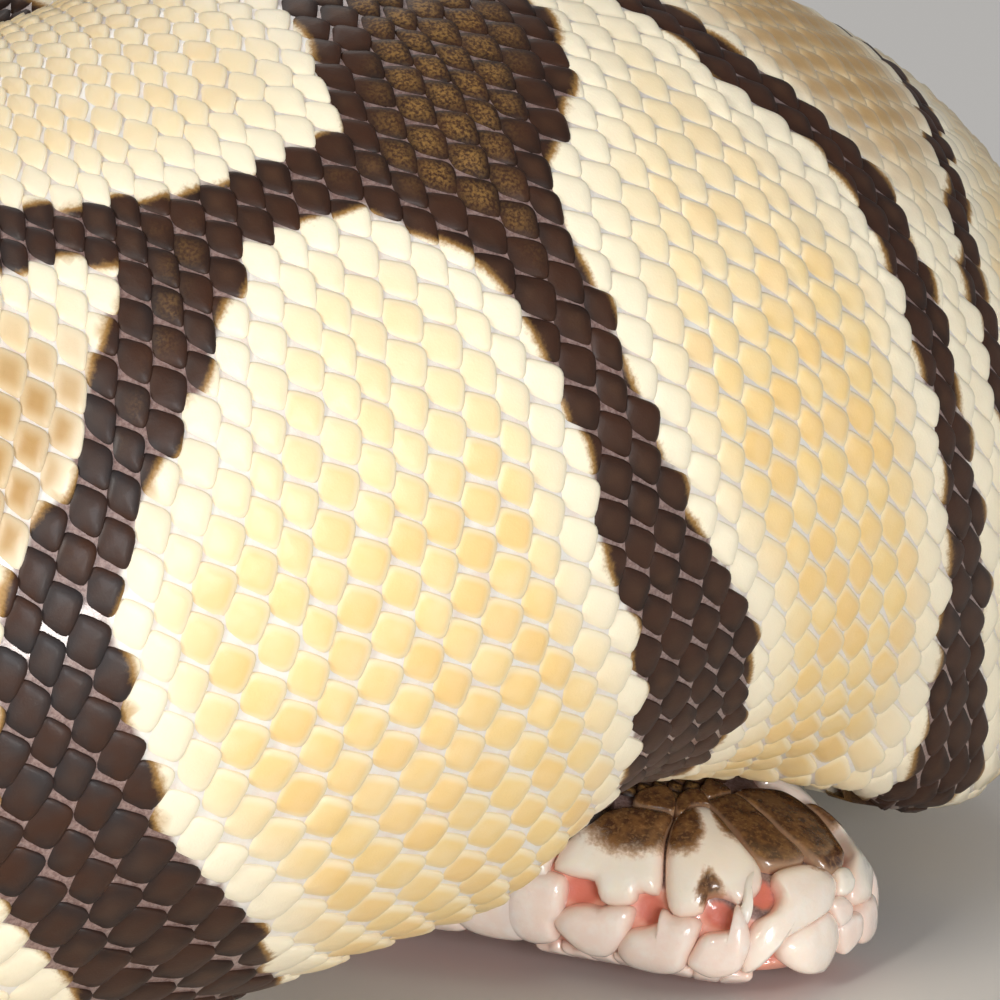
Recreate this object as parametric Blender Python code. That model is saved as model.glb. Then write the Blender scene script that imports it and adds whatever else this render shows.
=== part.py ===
"""Life-size still model of a ball python resting in a tight pile of coils, with its head under one coil.

Metres, +Z up, the floor is z = 0. The body is one round tube that follows a path from the neck to the
tail tip. The path is laid by hand as a short list of places, then settled, so that no length sinks into
another or into the floor. Lengths that press on each other share a flat contact face.
"""
import math

import bmesh
import bpy
import numpy as np
from mathutils import Vector

MM = 0.001

# ---- driving dimensions (millimetres) ----
HEAD_LENGTH = 50.0
BODY_RADIUS = 26.7
NECK_RADIUS = 11.4
VENT_RADIUS = 14.2
TAIL_LENGTH = 112.0
TAIL_TIP_RADIUS = 1.3
NECK_LENGTH = 66.0
TRUNK_LENGTHS = 9

PILE_MIDDLE = (-64.0, 48.4)
SNOUT = (19.2, 25.4)
HEAD_TURN = math.radians(140.0)
PART_GAP = 0.35
TOUCH_GAP = 0.7
FLAT_DEPTH = 0.5
EYE_RADIUS = 2.8
EYE_FROM_SNOUT = 14.0
EYE_HEIGHT = 10.2
EYE_ACROSS = 7.2
EYE_CLEARANCE = 2.2
MOUTH_CORNER = 36.0

# Path through the middle of the body from the back of the head to the tail tip: across, away, up.
COIL_PLACES = [
    (-42, 66, 12), (-64, 76, 13.5), (-90, 80, 15.5), (-110, 66, 20), (-108, 46, 28), (-86, 38, 37),
    (-63, 43, 46),
    (-52, 64, 53), (-62, 88, 58), (-88, 101, 59), (-115, 94, 58), (-133, 73, 56), (-137, 46, 52),
    (-124, 16, 44), (-101, -2, 35), (-80, -4, 30), (-58, 0, 28),
]
FRONT_COIL = [
    (-37, 3.7, 29.1), (-28, 6.0, 30.9), (-19, 10.6, 33.8), (-13, 14.9, 35.6), (-6, 21.8, 36.6),
    (0, 29.2, 35.4), (5.2, 37.4, 31.2), (8.4, 46.3, 26.2),
]
BACK_PLACES = [
    (8.8, 56, 23.6), (5.6, 68, 23.0), (-4, 81, 22), (-18, 92, 21), (-37, 102, 20), (-62, 111, 19.5),
    (-92, 115, 19), (-120, 105, 18.5), (-138, 82, 17), (-144, 54, 15.5), (-140, 24, 13.5),
    (-126, -4, 9), (-104, -26, 5.5), (-80, -36, 3), (-56, -38, 1.4),
]

# Places where the coil in front is fuller or flatter than round: distances from the snout with the extra
# radius at each, then the middle and the reach of the place in degrees round the body.
FRONT_FULLNESS = [
    ((505, 522, 536, 546), (0, 0.8, 2.0, 0), -62, 28),
    ((536, 548, 562, 590, 612), (0, -3.6, -4.6, -3.8, 0), -76, 28),
    ((564, 575, 588, 602), (0, 4.6, 4.8, 0), -45, 15),
]
PATH_STEP = 5.0
PATH_START = HEAD_LENGTH - 6.0
RING_STEP = 9.0
RING_STEP_OVER_HEAD = 4.5
RING_SIDES = 26
HEAD_SIDES = 32
FIRM_NECK = 84.0
HEAD_CLEARANCE = 1.6
EDGE_SOFTNESS = 0.7
FAR_AWAY = 1000.0

# How the path settles. Shares are of two radii added together, or of one radius above the floor.
SETTLE_ROUNDS = 260
CLOSEST_SHARE = 0.93
NEIGHBOUR_SHARE = 1.35
FLOOR_SHARE = 0.955
PUSH_APART = 0.10
SINK = 0.05
STIFFNESS = 0.35
LENGTH_PULL = 0.45
HOLD_PULL = 0.3


def smooth_step(value, low, high):
    """0 below low, 1 above high, with no corner between."""
    part = np.clip((value - low) / (high - low), 0.0, 1.0)
    return part * part * (3.0 - 2.0 * part)


def unit(vectors):
    return vectors / np.linalg.norm(vectors, axis=-1, keepdims=True)


# ---- the path of the body ----
def spline(points, step):
    """A smooth curve through the points, read at even steps along its length."""
    points = np.array(points, float)
    knots = np.concatenate([[0.0], np.cumsum(np.linalg.norm(np.diff(points, axis=0), axis=1))])
    slopes = np.gradient(points, knots, axis=0)
    fine = np.linspace(0.0, knots[-1], 2000)
    span = np.clip(np.searchsorted(knots, fine, side="right") - 1, 0, len(points) - 2)
    width = (knots[span + 1] - knots[span])[:, None]
    t = (fine[:, None] - knots[span][:, None]) / width
    curve = ((2 * t**3 - 3 * t**2 + 1) * points[span] + (t**3 - 2 * t**2 + t) * width * slopes[span]
             + (3 * t**2 - 2 * t**3) * points[span + 1] + (t**3 - t**2) * width * slopes[span + 1])
    return even_steps(curve, step)


def even_steps(curve, step):
    along = np.concatenate([[0.0], np.cumsum(np.linalg.norm(np.diff(curve, axis=0), axis=1))])
    places = np.linspace(0.0, along[-1], int(round(along[-1] / step)) + 1)
    return np.stack([np.interp(places, along, curve[:, k]) for k in range(3)], axis=1)


def head_axis():
    """Unit vectors of the head: backwards from the snout, to its right and up."""
    back = np.array([math.cos(HEAD_TURN), math.sin(HEAD_TURN), 0.0])
    right = np.array([-back[1], back[0], 0.0])
    return back, right, np.array([0.0, 0.0, 1.0])


def body_radius(along, total):
    """Radius of the round body at a distance from the snout."""
    places = np.array([0, 44, 90, 170, 290, 420, 0.53 * total, 0.63 * total, 0.68 * total, 0.73 * total,
                       0.80 * total, total - TAIL_LENGTH, total - 0.8 * TAIL_LENGTH,
                       total - 0.45 * TAIL_LENGTH, total])
    sizes = np.array([NECK_RADIUS, NECK_RADIUS, 12.4, 15.2, 19.5, 23.6, BODY_RADIUS, BODY_RADIUS, 24.2, 21.2,
                      18.8, VENT_RADIUS, 11.2, 6.4, TAIL_TIP_RADIUS])
    return np.interp(along, places, sizes)


def soften(values, rounds):
    values = values.copy()
    for _ in range(rounds):
        values[1:-1] += 0.25 * (values[:-2] - 2.0 * values[1:-1] + values[2:])
    return values


def laid_path():
    """The path laid by hand, from the back of the head on, with how firmly each place is held."""
    back, _, _ = head_axis()
    root = np.array([SNOUT[0], SNOUT[1], 0.0]) + back * PATH_START + np.array([0, 0, 9.0])
    start = [root, root + back * 8.0 + np.array([0, 0, 0.8])]
    path = spline(start + COIL_PLACES + FRONT_COIL + BACK_PLACES, PATH_STEP)
    front = np.array(FRONT_COIL + BACK_PLACES[:2], float)
    nearest = np.min(np.linalg.norm(path[:, None] - front[None], axis=2), axis=1)
    held = 1.0 - smooth_step(nearest, 3.0, 26.0)
    index = np.arange(len(path))
    held = np.maximum(held, np.clip(1.5 - index / 3.0, 0.0, 1.0))
    held = np.maximum(held, np.clip(1.2 - (len(path) - 1 - index) / 4.0, 0.0, 1.0))
    return path, held


def settle(path, held):
    """Pushes overlapping lengths apart, presses them down and keeps the path smooth and its length."""
    first = path.copy()
    count = len(path)
    spacing = np.linalg.norm(np.diff(path, axis=0), axis=1).mean()
    along = PATH_START + spacing * np.arange(count)
    radius = soften(body_radius(along, along[-1]), 12)
    apart = np.abs(along[:, None] - along[None])
    reach = CLOSEST_SHARE * (radius[:, None] + radius[None])
    far = apart > NEIGHBOUR_SHARE * (radius[:, None] + radius[None])
    free = (1.0 - held)[:, None]
    for _ in range(SETTLE_ROUNDS):
        offset = path[:, None] - path[None]
        distance = np.linalg.norm(offset, axis=2) + 1e-9
        depth = np.where(far, np.clip(reach - distance, 0.0, None), 0.0)
        push = (offset / distance[:, :, None]) * depth[:, :, None]
        move = PUSH_APART * push.sum(axis=1)
        move[:, 2] -= SINK
        bend = np.zeros_like(path)
        bend[2:-2] = (4.0 * (path[1:-3] + path[3:-1]) - path[:-4] - path[4:] - 6.0 * path[2:-2]) / 6.0
        path = path + free * (move + STIFFNESS * bend)
        for _ in range(4):
            step = np.diff(path, axis=0)
            size = np.linalg.norm(step, axis=1, keepdims=True)
            pull = LENGTH_PULL * (size - spacing) * step / size
            path[:-1] += free[:-1] * pull
            path[1:] -= free[1:] * pull
        path += HOLD_PULL * held[:, None] * (first - path)
        path[:, 2] = np.maximum(path[:, 2], FLOOR_SHARE * radius)
    return soften(path, 6), radius


def fullness(along, turn):
    """Extra radius where the front coil is pressed up over the head or sags down beside it."""
    turn = (np.degrees(turn) + 180.0) % 360.0 - 180.0
    return sum(np.interp(along, places, sizes) * np.exp(-((turn - middle) / reach)**2)
               for places, sizes, middle, reach in FRONT_FULLNESS)


class Body:
    """The settled path with its radius, directions and the rule for where its skin lies."""

    def __init__(self):
        path, held = laid_path()
        self.path, self.radius = settle(path, held)
        steps = np.linalg.norm(np.diff(self.path, axis=0), axis=1)
        self.along = PATH_START + np.concatenate([[0.0], np.cumsum(steps)])
        self.total = self.along[-1]

    def centre(self, along):
        return np.stack([np.interp(along, self.along, self.path[:, k]) for k in range(3)], axis=-1)

    def frame(self, along):
        """Centre, direction, side and upward direction of the body."""
        ahead = self.centre(np.minimum(along + 4.0, self.total))
        behind = self.centre(np.maximum(along - 4.0, self.along[0]))
        direction = unit(ahead - behind)
        up = np.array([0.0, 0.0, 1.0]) - direction[..., 2:3] * direction
        up = unit(up)
        return self.centre(along), direction, np.cross(direction, up), up

    def reach(self, along, turn, centre, rays):
        """How far the skin lies from the centre along each ray, after the lengths press on each other."""
        round_reach = np.interp(along, self.along, self.radius)
        offset = self.path[None] - centre[:, None]
        apart = np.abs(self.along[None] - along[:, None])
        touching = apart > NEIGHBOUR_SHARE * (self.radius[None] + round_reach[:, None])
        size = np.linalg.norm(offset, axis=2)
        face = (size**2 + round_reach[:, None]**2 - self.radius[None]**2) / (2.0 * size + 1e-9)
        firm = (self.along < FIRM_NECK)[None] & (along >= FIRM_NECK)[:, None]
        face = np.where(firm, size - self.radius[None], face)
        touching &= (along >= FIRM_NECK)[:, None]
        facing = np.einsum("ijk,ink->inj", offset, rays)
        limit = np.full(rays.shape[:2], FAR_AWAY)
        for n in range(rays.shape[1]):
            toward = facing[:, n]
            usable = touching & (toward > 1e-3)
            safe = np.where(usable, toward, 1.0)
            cut = (face - 0.5 * TOUCH_GAP) * size / safe
            limit[:, n] = np.where(usable, cut, FAR_AWAY).min(axis=1)
        downward = np.maximum(-rays[..., 2], 1e-3)
        floor = np.where(rays[..., 2] < -1e-3, centre[:, None, 2] / downward, FAR_AWAY)
        limit = np.minimum(limit, np.minimum(floor, head_distance(centre, rays)))
        round_reach = round_reach[:, None] + fullness(along[:, None], turn[None])
        low = np.minimum(limit, round_reach)
        return low - EDGE_SOFTNESS * np.log1p(np.exp(-np.abs(limit - round_reach) / EDGE_SOFTNESS))


# ---- the head ----
def head_half_width(back):
    """Half width of the head at a distance behind the snout tip."""
    return np.interp(back, [0, 0.6, 2, 5, 9, 14, 20, 28, 35, 41, 46, 50],
                     [2.6, 4.6, 6.6, 8.4, 9.8, 11.8, 14.4, 17.3, 18.2, 17.2, 14.6, 12.3])


def head_top(back):
    return np.interp(back, [0, 0.6, 2, 5, 9, 14, 20, 28, 36, 44, 50],
                     [5.0, 6.4, 7.8, 9.3, 10.9, 12.8, 14.7, 16.6, 17.9, 18.6, 19.4])


def head_bottom(back):
    return np.interp(back, [0, 1.5, 4, 40, 50], [1.4, 0.5, 0.0, 0.0, 0.0])


def mouth_height(back):
    return 1.0 + 4.1 * smooth_step(back, 3.0, 26.0)


def head_section(back, sides):
    """Outline across the head: fuller than an ellipse, flatter on the crown."""
    half = head_half_width(back)
    top = head_top(back)
    bottom = head_bottom(back)
    outline = []
    for n in range(sides):
        angle = 2.0 * math.pi * n / sides
        across = math.copysign(abs(math.cos(angle))**0.8, math.cos(angle))
        upward = math.copysign(abs(math.sin(angle))**0.85, math.sin(angle))
        middle = bottom + 0.36 * (top - bottom)
        reach = top - middle if upward > 0 else middle - bottom
        height = middle + upward * reach
        outline.append((half * across, height))
    return outline


def head_point(back, across, height):
    direction, right, up = head_axis()
    return np.array([SNOUT[0], SNOUT[1], 0.0]) + direction * back + right * across + up * height


def head_distance(centre, rays):
    """Distance along each ray to the head, so that the coil above it hollows round it."""
    direction, right, _ = head_axis()
    steps = np.linspace(3.0, 30.0, 55)
    places = centre[:, None, None] + rays[:, :, None] * steps[None, None, :, None]
    local = places - np.array([SNOUT[0], SNOUT[1], 0.0])
    back = local @ direction
    across = local @ right
    half = head_half_width(back) + HEAD_CLEARANCE
    top = head_top(back) + HEAD_CLEARANCE
    middle = 0.36 * top
    reach = np.where(local[..., 2] > middle, top - middle, middle)
    inside = (np.abs(across) / half)**2.4 + (np.abs(local[..., 2] - middle) / reach)**2.3 < 1.0
    inside &= (back > -1.2) & (back < HEAD_LENGTH + 1.0)
    for side in (1, -1):
        away = places - head_point(EYE_FROM_SNOUT, side * EYE_ACROSS, EYE_HEIGHT)
        inside |= (away**2).sum(axis=-1) < (EYE_RADIUS + EYE_CLEARANCE)**2
    return np.where(inside.any(axis=2), steps[inside.argmax(axis=2)] - 0.5, FAR_AWAY)


# ---- meshes ----
def new_object(name, mesh_data, material, smooth_angle=40.0):
    """Makes the object, moved so that the middle of the whole animal stands over the origin."""
    mesh = bpy.data.meshes.new(name)
    middle = Vector((PILE_MIDDLE[0], PILE_MIDDLE[1], 0.0)) * MM
    bmesh.ops.translate(mesh_data, verts=mesh_data.verts[:], vec=-middle)
    mesh_data.normal_update()
    bmesh.ops.recalc_face_normals(mesh_data, faces=mesh_data.faces[:])
    mesh_data.to_mesh(mesh)
    mesh_data.free()
    mesh.shade_smooth()
    mesh.set_sharp_from_angle(angle=math.radians(smooth_angle))
    mesh.materials.append(material)
    thing = bpy.data.objects.new(name, mesh)
    bpy.context.scene.collection.objects.link(thing)
    return thing


def loft(rings):
    """A closed body through rings of points, capped flat at both ends."""
    mesh_data = bmesh.new()
    loops = [[mesh_data.verts.new(Vector(point) * MM) for point in ring] for ring in rings]
    sides = len(loops[0])
    for near, far in zip(loops, loops[1:]):
        for n in range(sides):
            m = (n + 1) % sides
            mesh_data.faces.new((near[n], near[m], far[m], far[n]))
    for loop in (loops[0], loops[-1]):
        middle = sum((vert.co for vert in loop), Vector()) / sides
        hub = mesh_data.verts.new(middle)
        for n in range(sides):
            mesh_data.faces.new((loop[n], loop[(n + 1) % sides], hub))
    bmesh.ops.triangulate(mesh_data, faces=[face for face in mesh_data.faces if len(face.verts) > 3])
    return mesh_data


def body_rings(body, start, end):
    """Rings of skin points along one length of the body, closer together where it hollows over the head."""
    middle = body.centre(np.linspace(start, end, 9))[:, :2]
    over_head = np.linalg.norm(middle - head_point(20.0, 0.0, 0.0)[:2], axis=1).min() < 26.0
    step = RING_STEP_OVER_HEAD if over_head else RING_STEP
    count = max(3, int(round((end - start) / step)) + 1)
    along = np.linspace(start, end, count)
    centre, _, side, up = body.frame(along)
    angle = 2.0 * np.pi * np.arange(RING_SIDES) / RING_SIDES
    rays = np.cos(angle)[None, :, None] * side[:, None] + np.sin(angle)[None, :, None] * up[:, None]
    reach = body.reach(along, angle, centre, rays)
    points = centre[:, None] + rays * reach[:, :, None]
    points[..., 2] = np.where(points[..., 2] < FLAT_DEPTH, 0.0, points[..., 2])
    return points


def body_length(body, name, start, end, material):
    rings = body_rings(body, start, end)
    return new_object(name, loft(rings), material)


def make_body(body, skin):
    """Neck, numbered trunk lengths and tail, parted by thin cuts."""
    neck_start = HEAD_LENGTH + 2.0 * PART_GAP
    neck_end = HEAD_LENGTH + NECK_LENGTH
    tail_start = body.total - TAIL_LENGTH
    body_length(body, "neck", neck_start, neck_end, skin)
    length = (tail_start - neck_end) / TRUNK_LENGTHS
    for n in range(TRUNK_LENGTHS):
        start = neck_end + n * length + PART_GAP
        body_length(body, f"trunk_{n + 1}", start, neck_end + (n + 1) * length, skin)
    body_length(body, "tail", tail_start + PART_GAP, body.total, skin)


def head_rings(stations, low, high, inset=0.0):
    """Rings across the head, cut off level at a lower and an upper height."""
    rings = []
    for back in stations:
        ring = []
        floor = low(back)
        roof = high(back)
        for across, height in head_section(back, HEAD_SIDES):
            height = min(max(height, floor), roof)
            across = across - math.copysign(min(inset, abs(across)), across)
            ring.append(head_point(back, across, height))
        rings.append(ring)
    return rings


HEAD_STATIONS = [
    0.15, 0.7, 1.6, 3.0, 5.0, 7.5, 10.5, 14.0, 18.0, 22.5, 27.5, 32.0, 36.0, 40.0, 44.0, 47.0, 50.0,
]


def make_head(skin, eye_finish):
    """Cranium with the upper jaw, the lower jaw under it, and an eye set into each side."""
    upper = head_rings(HEAD_STATIONS, lambda back: mouth_height(min(back, MOUTH_CORNER)), lambda back: 99.0)
    head = new_object("head", loft(upper), skin)
    lower_stations = [3.8] + [back for back in HEAD_STATIONS if back > 4.0]
    lower = head_rings(lower_stations, lambda back: 0.0,
                       lambda back: mouth_height(min(back, MOUTH_CORNER)) - PART_GAP, 0.6)
    new_object("lower_jaw", loft(lower), skin)
    for side, name in ((1, "eye_right"), (-1, "eye_left")):
        place = head_point(EYE_FROM_SNOUT, side * EYE_ACROSS, EYE_HEIGHT) * MM
        carve_ball(head, name + "_socket", place, (EYE_RADIUS + PART_GAP) * MM)
        ball = bmesh.new()
        bmesh.ops.create_icosphere(ball, subdivisions=3, radius=EYE_RADIUS * MM)
        bmesh.ops.translate(ball, verts=ball.verts[:], vec=Vector(place))
        new_object(name, ball, eye_finish)


def carve_ball(target, name, place, radius):
    """Cuts a round socket with a hidden cutter."""
    ball = bmesh.new()
    bmesh.ops.create_icosphere(ball, subdivisions=3, radius=radius)
    bmesh.ops.translate(ball, verts=ball.verts[:], vec=Vector(place))
    cutter = new_object(name, ball, target.data.materials[0])
    cutter.hide_render = True
    cutter.display_type = "WIRE"
    cut = target.modifiers.new(name, "BOOLEAN")
    cut.operation = "DIFFERENCE"
    cut.object = cutter


def finish(name, colour, roughness):
    material = bpy.data.materials.new(name)
    material.use_nodes = True
    shader = material.node_tree.nodes["Principled BSDF"]
    shader.inputs["Base Color"].default_value = (*colour, 1.0)
    shader.inputs["Roughness"].default_value = roughness
    shader.inputs["Metallic"].default_value = 0.0
    return material


def main():
    for thing in list(bpy.data.objects):
        bpy.data.objects.remove(thing, do_unlink=True)
    skin = finish("cream_scaled_skin", (0.86, 0.72, 0.42), 0.38)
    face = finish("pale_face_skin", (0.88, 0.74, 0.62), 0.3)
    eye_finish = finish("dark_wet_eye", (0.02, 0.015, 0.012), 0.08)
    make_body(Body(), skin)
    make_head(face, eye_finish)


if __name__ == "__main__":
    main()
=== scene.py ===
"""A ball python resting in a tight pile of coils: skin, scales, head plates, eyes and a plain studio.

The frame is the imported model. Its body follows one path, and the same path is worked out again here, so
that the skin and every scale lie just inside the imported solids. Lengths in this file are millimetres
until a mesh is made.
"""
import math

import bpy
import numpy as np
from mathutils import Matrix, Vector


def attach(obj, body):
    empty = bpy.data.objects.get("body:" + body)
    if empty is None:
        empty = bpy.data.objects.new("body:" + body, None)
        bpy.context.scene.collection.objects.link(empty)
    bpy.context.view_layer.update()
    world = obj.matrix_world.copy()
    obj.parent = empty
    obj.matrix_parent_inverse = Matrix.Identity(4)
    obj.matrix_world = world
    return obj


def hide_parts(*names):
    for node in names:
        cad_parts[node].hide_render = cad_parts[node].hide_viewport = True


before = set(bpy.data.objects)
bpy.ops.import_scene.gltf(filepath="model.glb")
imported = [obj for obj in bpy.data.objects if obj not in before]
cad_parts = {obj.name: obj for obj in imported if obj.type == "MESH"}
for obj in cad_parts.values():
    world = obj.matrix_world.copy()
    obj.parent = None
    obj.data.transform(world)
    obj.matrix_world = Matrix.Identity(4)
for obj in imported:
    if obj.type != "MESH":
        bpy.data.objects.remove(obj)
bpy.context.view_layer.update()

bl_info = {
    "name": "Coiled ball python",
    "version": (1, 0, 0),
    "blender": (4, 5, 0),
    "location": "View3D > Sidebar > Python",
    "description": "Adds the skin, scales, head plates, eyes and studio of a resting ball python",
    "category": "Add Mesh",
}

MM = 0.001
BODY = "root"
FLOOR_GAP = 0.03

# ---- the animal's sizes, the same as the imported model's (millimetres) ----
HEAD_LENGTH = 50.0
WIDEST_SHARE = 0.36
BODY_RADIUS = 26.7
NECK_RADIUS = 11.4
VENT_RADIUS = 14.2
TAIL_LENGTH = 112.0
TAIL_TIP_RADIUS = 1.3
PILE_MIDDLE = np.array([-64.0, 48.4, 0.0])
SNOUT = np.array([19.2, 25.4, 0.0])
HEAD_TURN = math.radians(140.0)
TOUCH_GAP = 0.7
EYE_RADIUS = 2.8
EYE_FROM_SNOUT = 14.0
EYE_HEIGHT = 10.2
EYE_ACROSS = 7.2
EYE_CLEARANCE = 2.2

COIL_PLACES = [
    (-42, 66, 12), (-64, 76, 13.5), (-90, 80, 15.5), (-110, 66, 20), (-108, 46, 28), (-86, 38, 37),
    (-63, 43, 46), (-52, 64, 53), (-62, 88, 58), (-88, 101, 59), (-115, 94, 58), (-133, 73, 56),
    (-137, 46, 52), (-124, 16, 44), (-101, -2, 35), (-80, -4, 30), (-58, 0, 28),
]
FRONT_COIL = [
    (-37, 3.7, 29.1), (-28, 6.0, 30.9), (-19, 10.6, 33.8), (-13, 14.9, 35.6), (-6, 21.8, 36.6),
    (0, 29.2, 35.4), (5.2, 37.4, 31.2), (8.4, 46.3, 26.2),
]
BACK_PLACES = [
    (8.8, 56, 23.6), (5.6, 68, 23.0), (-4, 81, 22), (-18, 92, 21), (-37, 102, 20), (-62, 111, 19.5),
    (-92, 115, 19), (-120, 105, 18.5), (-138, 82, 17), (-144, 54, 15.5), (-140, 24, 13.5),
    (-126, -4, 9), (-104, -26, 5.5), (-80, -36, 3), (-56, -38, 1.4),
]
# Places where the coil in front is fuller or flatter than round: distances from the snout with the extra
# radius at each, then the middle and the reach of the place in degrees round the body.
FRONT_FULLNESS = [
    ((505, 522, 536, 546), (0, 0.8, 2.0, 0), -62, 28),
    ((536, 548, 562, 590, 612), (0, -3.6, -4.6, -3.8, 0), -76, 28),
    ((564, 575, 588, 602), (0, 4.6, 4.8, 0), -45, 15),
]
PATH_STEP = 5.0
PATH_START = HEAD_LENGTH - 6.0
FIRM_NECK = 84.0
HEAD_CLEARANCE = 1.6
EDGE_SOFTNESS = 0.7
FAR_AWAY = 1000.0
SETTLE_ROUNDS = 260
CLOSEST_SHARE = 0.93
NEIGHBOUR_SHARE = 1.35
FLOOR_SHARE = 0.955
PUSH_APART = 0.10
SINK = 0.05
STIFFNESS = 0.35
LENGTH_PULL = 0.45
HOLD_PULL = 0.3

# ---- the coat ----
COAT_DEPTH = 0.55
SCALE_PITCH = 1.74
BELLY_EDGE = 140.0
ROWS_EACH_SIDE = 28
ROOT_DEPTH = 0.05
RIM_DROP = 0.10
EDGE_FOOT = -0.22
PRESSED_OUT_OF_SIGHT = 1.5
BAKE_PATCH = 0.003

# ---- the camera: its target and sensor in millimetres, and how many frame widths make a metre ----
CAMERA_TARGET = (64.0, -48.4, 36.4)
SENSOR_WIDTH = 36.0
FRAMES_PER_METRE = 19.0


def rgb(red, green, painted_blue_sheen):
    """A colour as the eye names it, 0 to 255, as the light shares that a shader takes."""
    return tuple((value / 255.0 / 12.92) if value <= 10 else ((value / 255.0 + 0.055) / 1.055)**2.4
                 for value in (red, green, painted_blue_sheen))


# ---- what a user may change ----
def colour_choice(name, description, default):
    return bpy.props.FloatVectorProperty(
        name=name, description=description, subtype="COLOR", size=3, min=0.0, max=1.0, default=rgb(*default))


def length_choice(name, description, default):
    return bpy.props.FloatProperty(
        name=name, description=description, unit="LENGTH", min=0.0, precision=5, default=default * MM)


def power_choice(name, description, default):
    return bpy.props.FloatProperty(
        name=name, description=description, unit="POWER", min=0.0, default=default)


class PythonCoatSettings(bpy.types.PropertyGroup):
    """Sizes and colours of the skin and its scales."""

    cream: colour_choice("Cream", "Scales beside the dark bands", (249, 236, 208))
    yellow: colour_choice("Yellow", "Scales in the middle of the light blotches", (242, 210, 146))
    orange: colour_choice("Orange", "The warmest of the yellow scales", (238, 192, 122))
    tan: colour_choice("Tan", "Patches low on the neck side of the front coil", (184, 146, 92))
    umber: colour_choice("Umber", "The lighter part of the dark bands", (62, 36, 22))
    chocolate: colour_choice("Chocolate", "The darker part of the dark bands", (40, 22, 13))
    golden: colour_choice("Golden", "Speckles along the middle of the back", (156, 118, 64))
    between_light: colour_choice(
        "Skin between light scales", "Skin that shows between the light scales", (254, 243, 230))
    between_dark: colour_choice(
        "Skin between dark scales", "Skin that shows between the dark scales", (122, 92, 84))
    tilt: length_choice("Scale tilt", "How far the free edge of a large scale stands over its root", 0.35)
    dome: length_choice("Scale dome", "How far the middle of a large scale swells", 0.15)


class PythonHeadSettings(bpy.types.PropertyGroup):
    """Sizes and colours of the head's plates, heat pits and eyes."""

    plate_cream: colour_choice("Cream plate", "Plates behind and above the nostril", (255, 242, 224))
    plate_pink: colour_choice("Pink plate", "Plates of the lips and the chin", (250, 220, 206))
    plate_brown: colour_choice("Brown plate", "Plates on top of the snout", (128, 88, 50))
    groove: colour_choice("Groove", "Soft skin down between the plates", (238, 160, 136))
    pit: colour_choice("Heat pit", "The bottom of the heat pits", (222, 124, 102))
    iris: colour_choice("Iris", "The bronze ring of the eye", (112, 80, 44))
    plate_sink: length_choice(
        "Plate sink", "How deep the foot of each plate lies under the outline of the head", 1.0)
    pit_depth: length_choice("Pit depth", "How much deeper than the grooves the heat pits are", 0.35)
    eye_radius: length_choice("Eye radius", "Radius of the eye ball", EYE_RADIUS)


class PythonStageSettings(bpy.types.PropertyGroup):
    """The studio round the animal."""

    key_power: power_choice("Key light", "Power of the light up to the left of the camera", 2.95)
    fill_power: power_choice("Fill light", "Power of the low light in front", 2.5)
    rim_power: power_choice("Rim light", "Power of the light behind the animal", 1.8)
    head_power: power_choice("Head light", "Power of the small low light on the head", 0.24)
    surroundings: bpy.props.FloatProperty(
        name="Surroundings", description="Strength of the even light from all round", min=0.0, default=0.25)
    camera_distance: bpy.props.FloatProperty(
        name="Camera distance", description="From the camera to the front coil", unit="LENGTH", min=0.1,
        default=0.42)
    camera_rise: bpy.props.FloatProperty(
        name="Camera rise", description="How steeply the camera looks down", subtype="ANGLE",
        default=math.radians(16.0))
    floor_colour: colour_choice("Floor", "Colour of the floor", (226, 224, 220))


def smooth_step(value, low, high):
    """0 below low, 1 above high, with no corner between."""
    part = np.clip((value - low) / (high - low), 0.0, 1.0)
    return part * part * (3.0 - 2.0 * part)


def unit(vectors):
    return vectors / (np.linalg.norm(vectors, axis=-1, keepdims=True) + 1e-12)


# ---- the path of the body ----
def spline(points, step):
    """A smooth curve through the points, read at even steps along its length."""
    points = np.array(points, float)
    knots = np.concatenate([[0.0], np.cumsum(np.linalg.norm(np.diff(points, axis=0), axis=1))])
    slopes = np.gradient(points, knots, axis=0)
    fine = np.linspace(0.0, knots[-1], 2000)
    span = np.clip(np.searchsorted(knots, fine, side="right") - 1, 0, len(points) - 2)
    width = (knots[span + 1] - knots[span])[:, None]
    t = (fine[:, None] - knots[span][:, None]) / width
    curve = ((2 * t**3 - 3 * t**2 + 1) * points[span] + (t**3 - 2 * t**2 + t) * width * slopes[span]
             + (3 * t**2 - 2 * t**3) * points[span + 1] + (t**3 - t**2) * width * slopes[span + 1])
    along = np.concatenate([[0.0], np.cumsum(np.linalg.norm(np.diff(curve, axis=0), axis=1))])
    places = np.linspace(0.0, along[-1], int(round(along[-1] / step)) + 1)
    return np.stack([np.interp(places, along, curve[:, k]) for k in range(3)], axis=1)


def head_axis():
    """Unit vectors of the head: backwards from the snout, to its right and up."""
    back = np.array([math.cos(HEAD_TURN), math.sin(HEAD_TURN), 0.0])
    right = np.array([-back[1], back[0], 0.0])
    return back, right, np.array([0.0, 0.0, 1.0])


def body_radius(along, total):
    """Radius of the round body at a distance from the snout."""
    places = np.array([0, 44, 90, 170, 290, 420, 0.53 * total, 0.63 * total, 0.68 * total, 0.73 * total,
                       0.80 * total, total - TAIL_LENGTH, total - 0.8 * TAIL_LENGTH,
                       total - 0.45 * TAIL_LENGTH, total])
    sizes = np.array([NECK_RADIUS, NECK_RADIUS, 12.4, 15.2, 19.5, 23.6, BODY_RADIUS, BODY_RADIUS, 24.2, 21.2,
                      18.8, VENT_RADIUS, 11.2, 6.4, TAIL_TIP_RADIUS])
    return np.interp(along, places, sizes)


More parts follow.
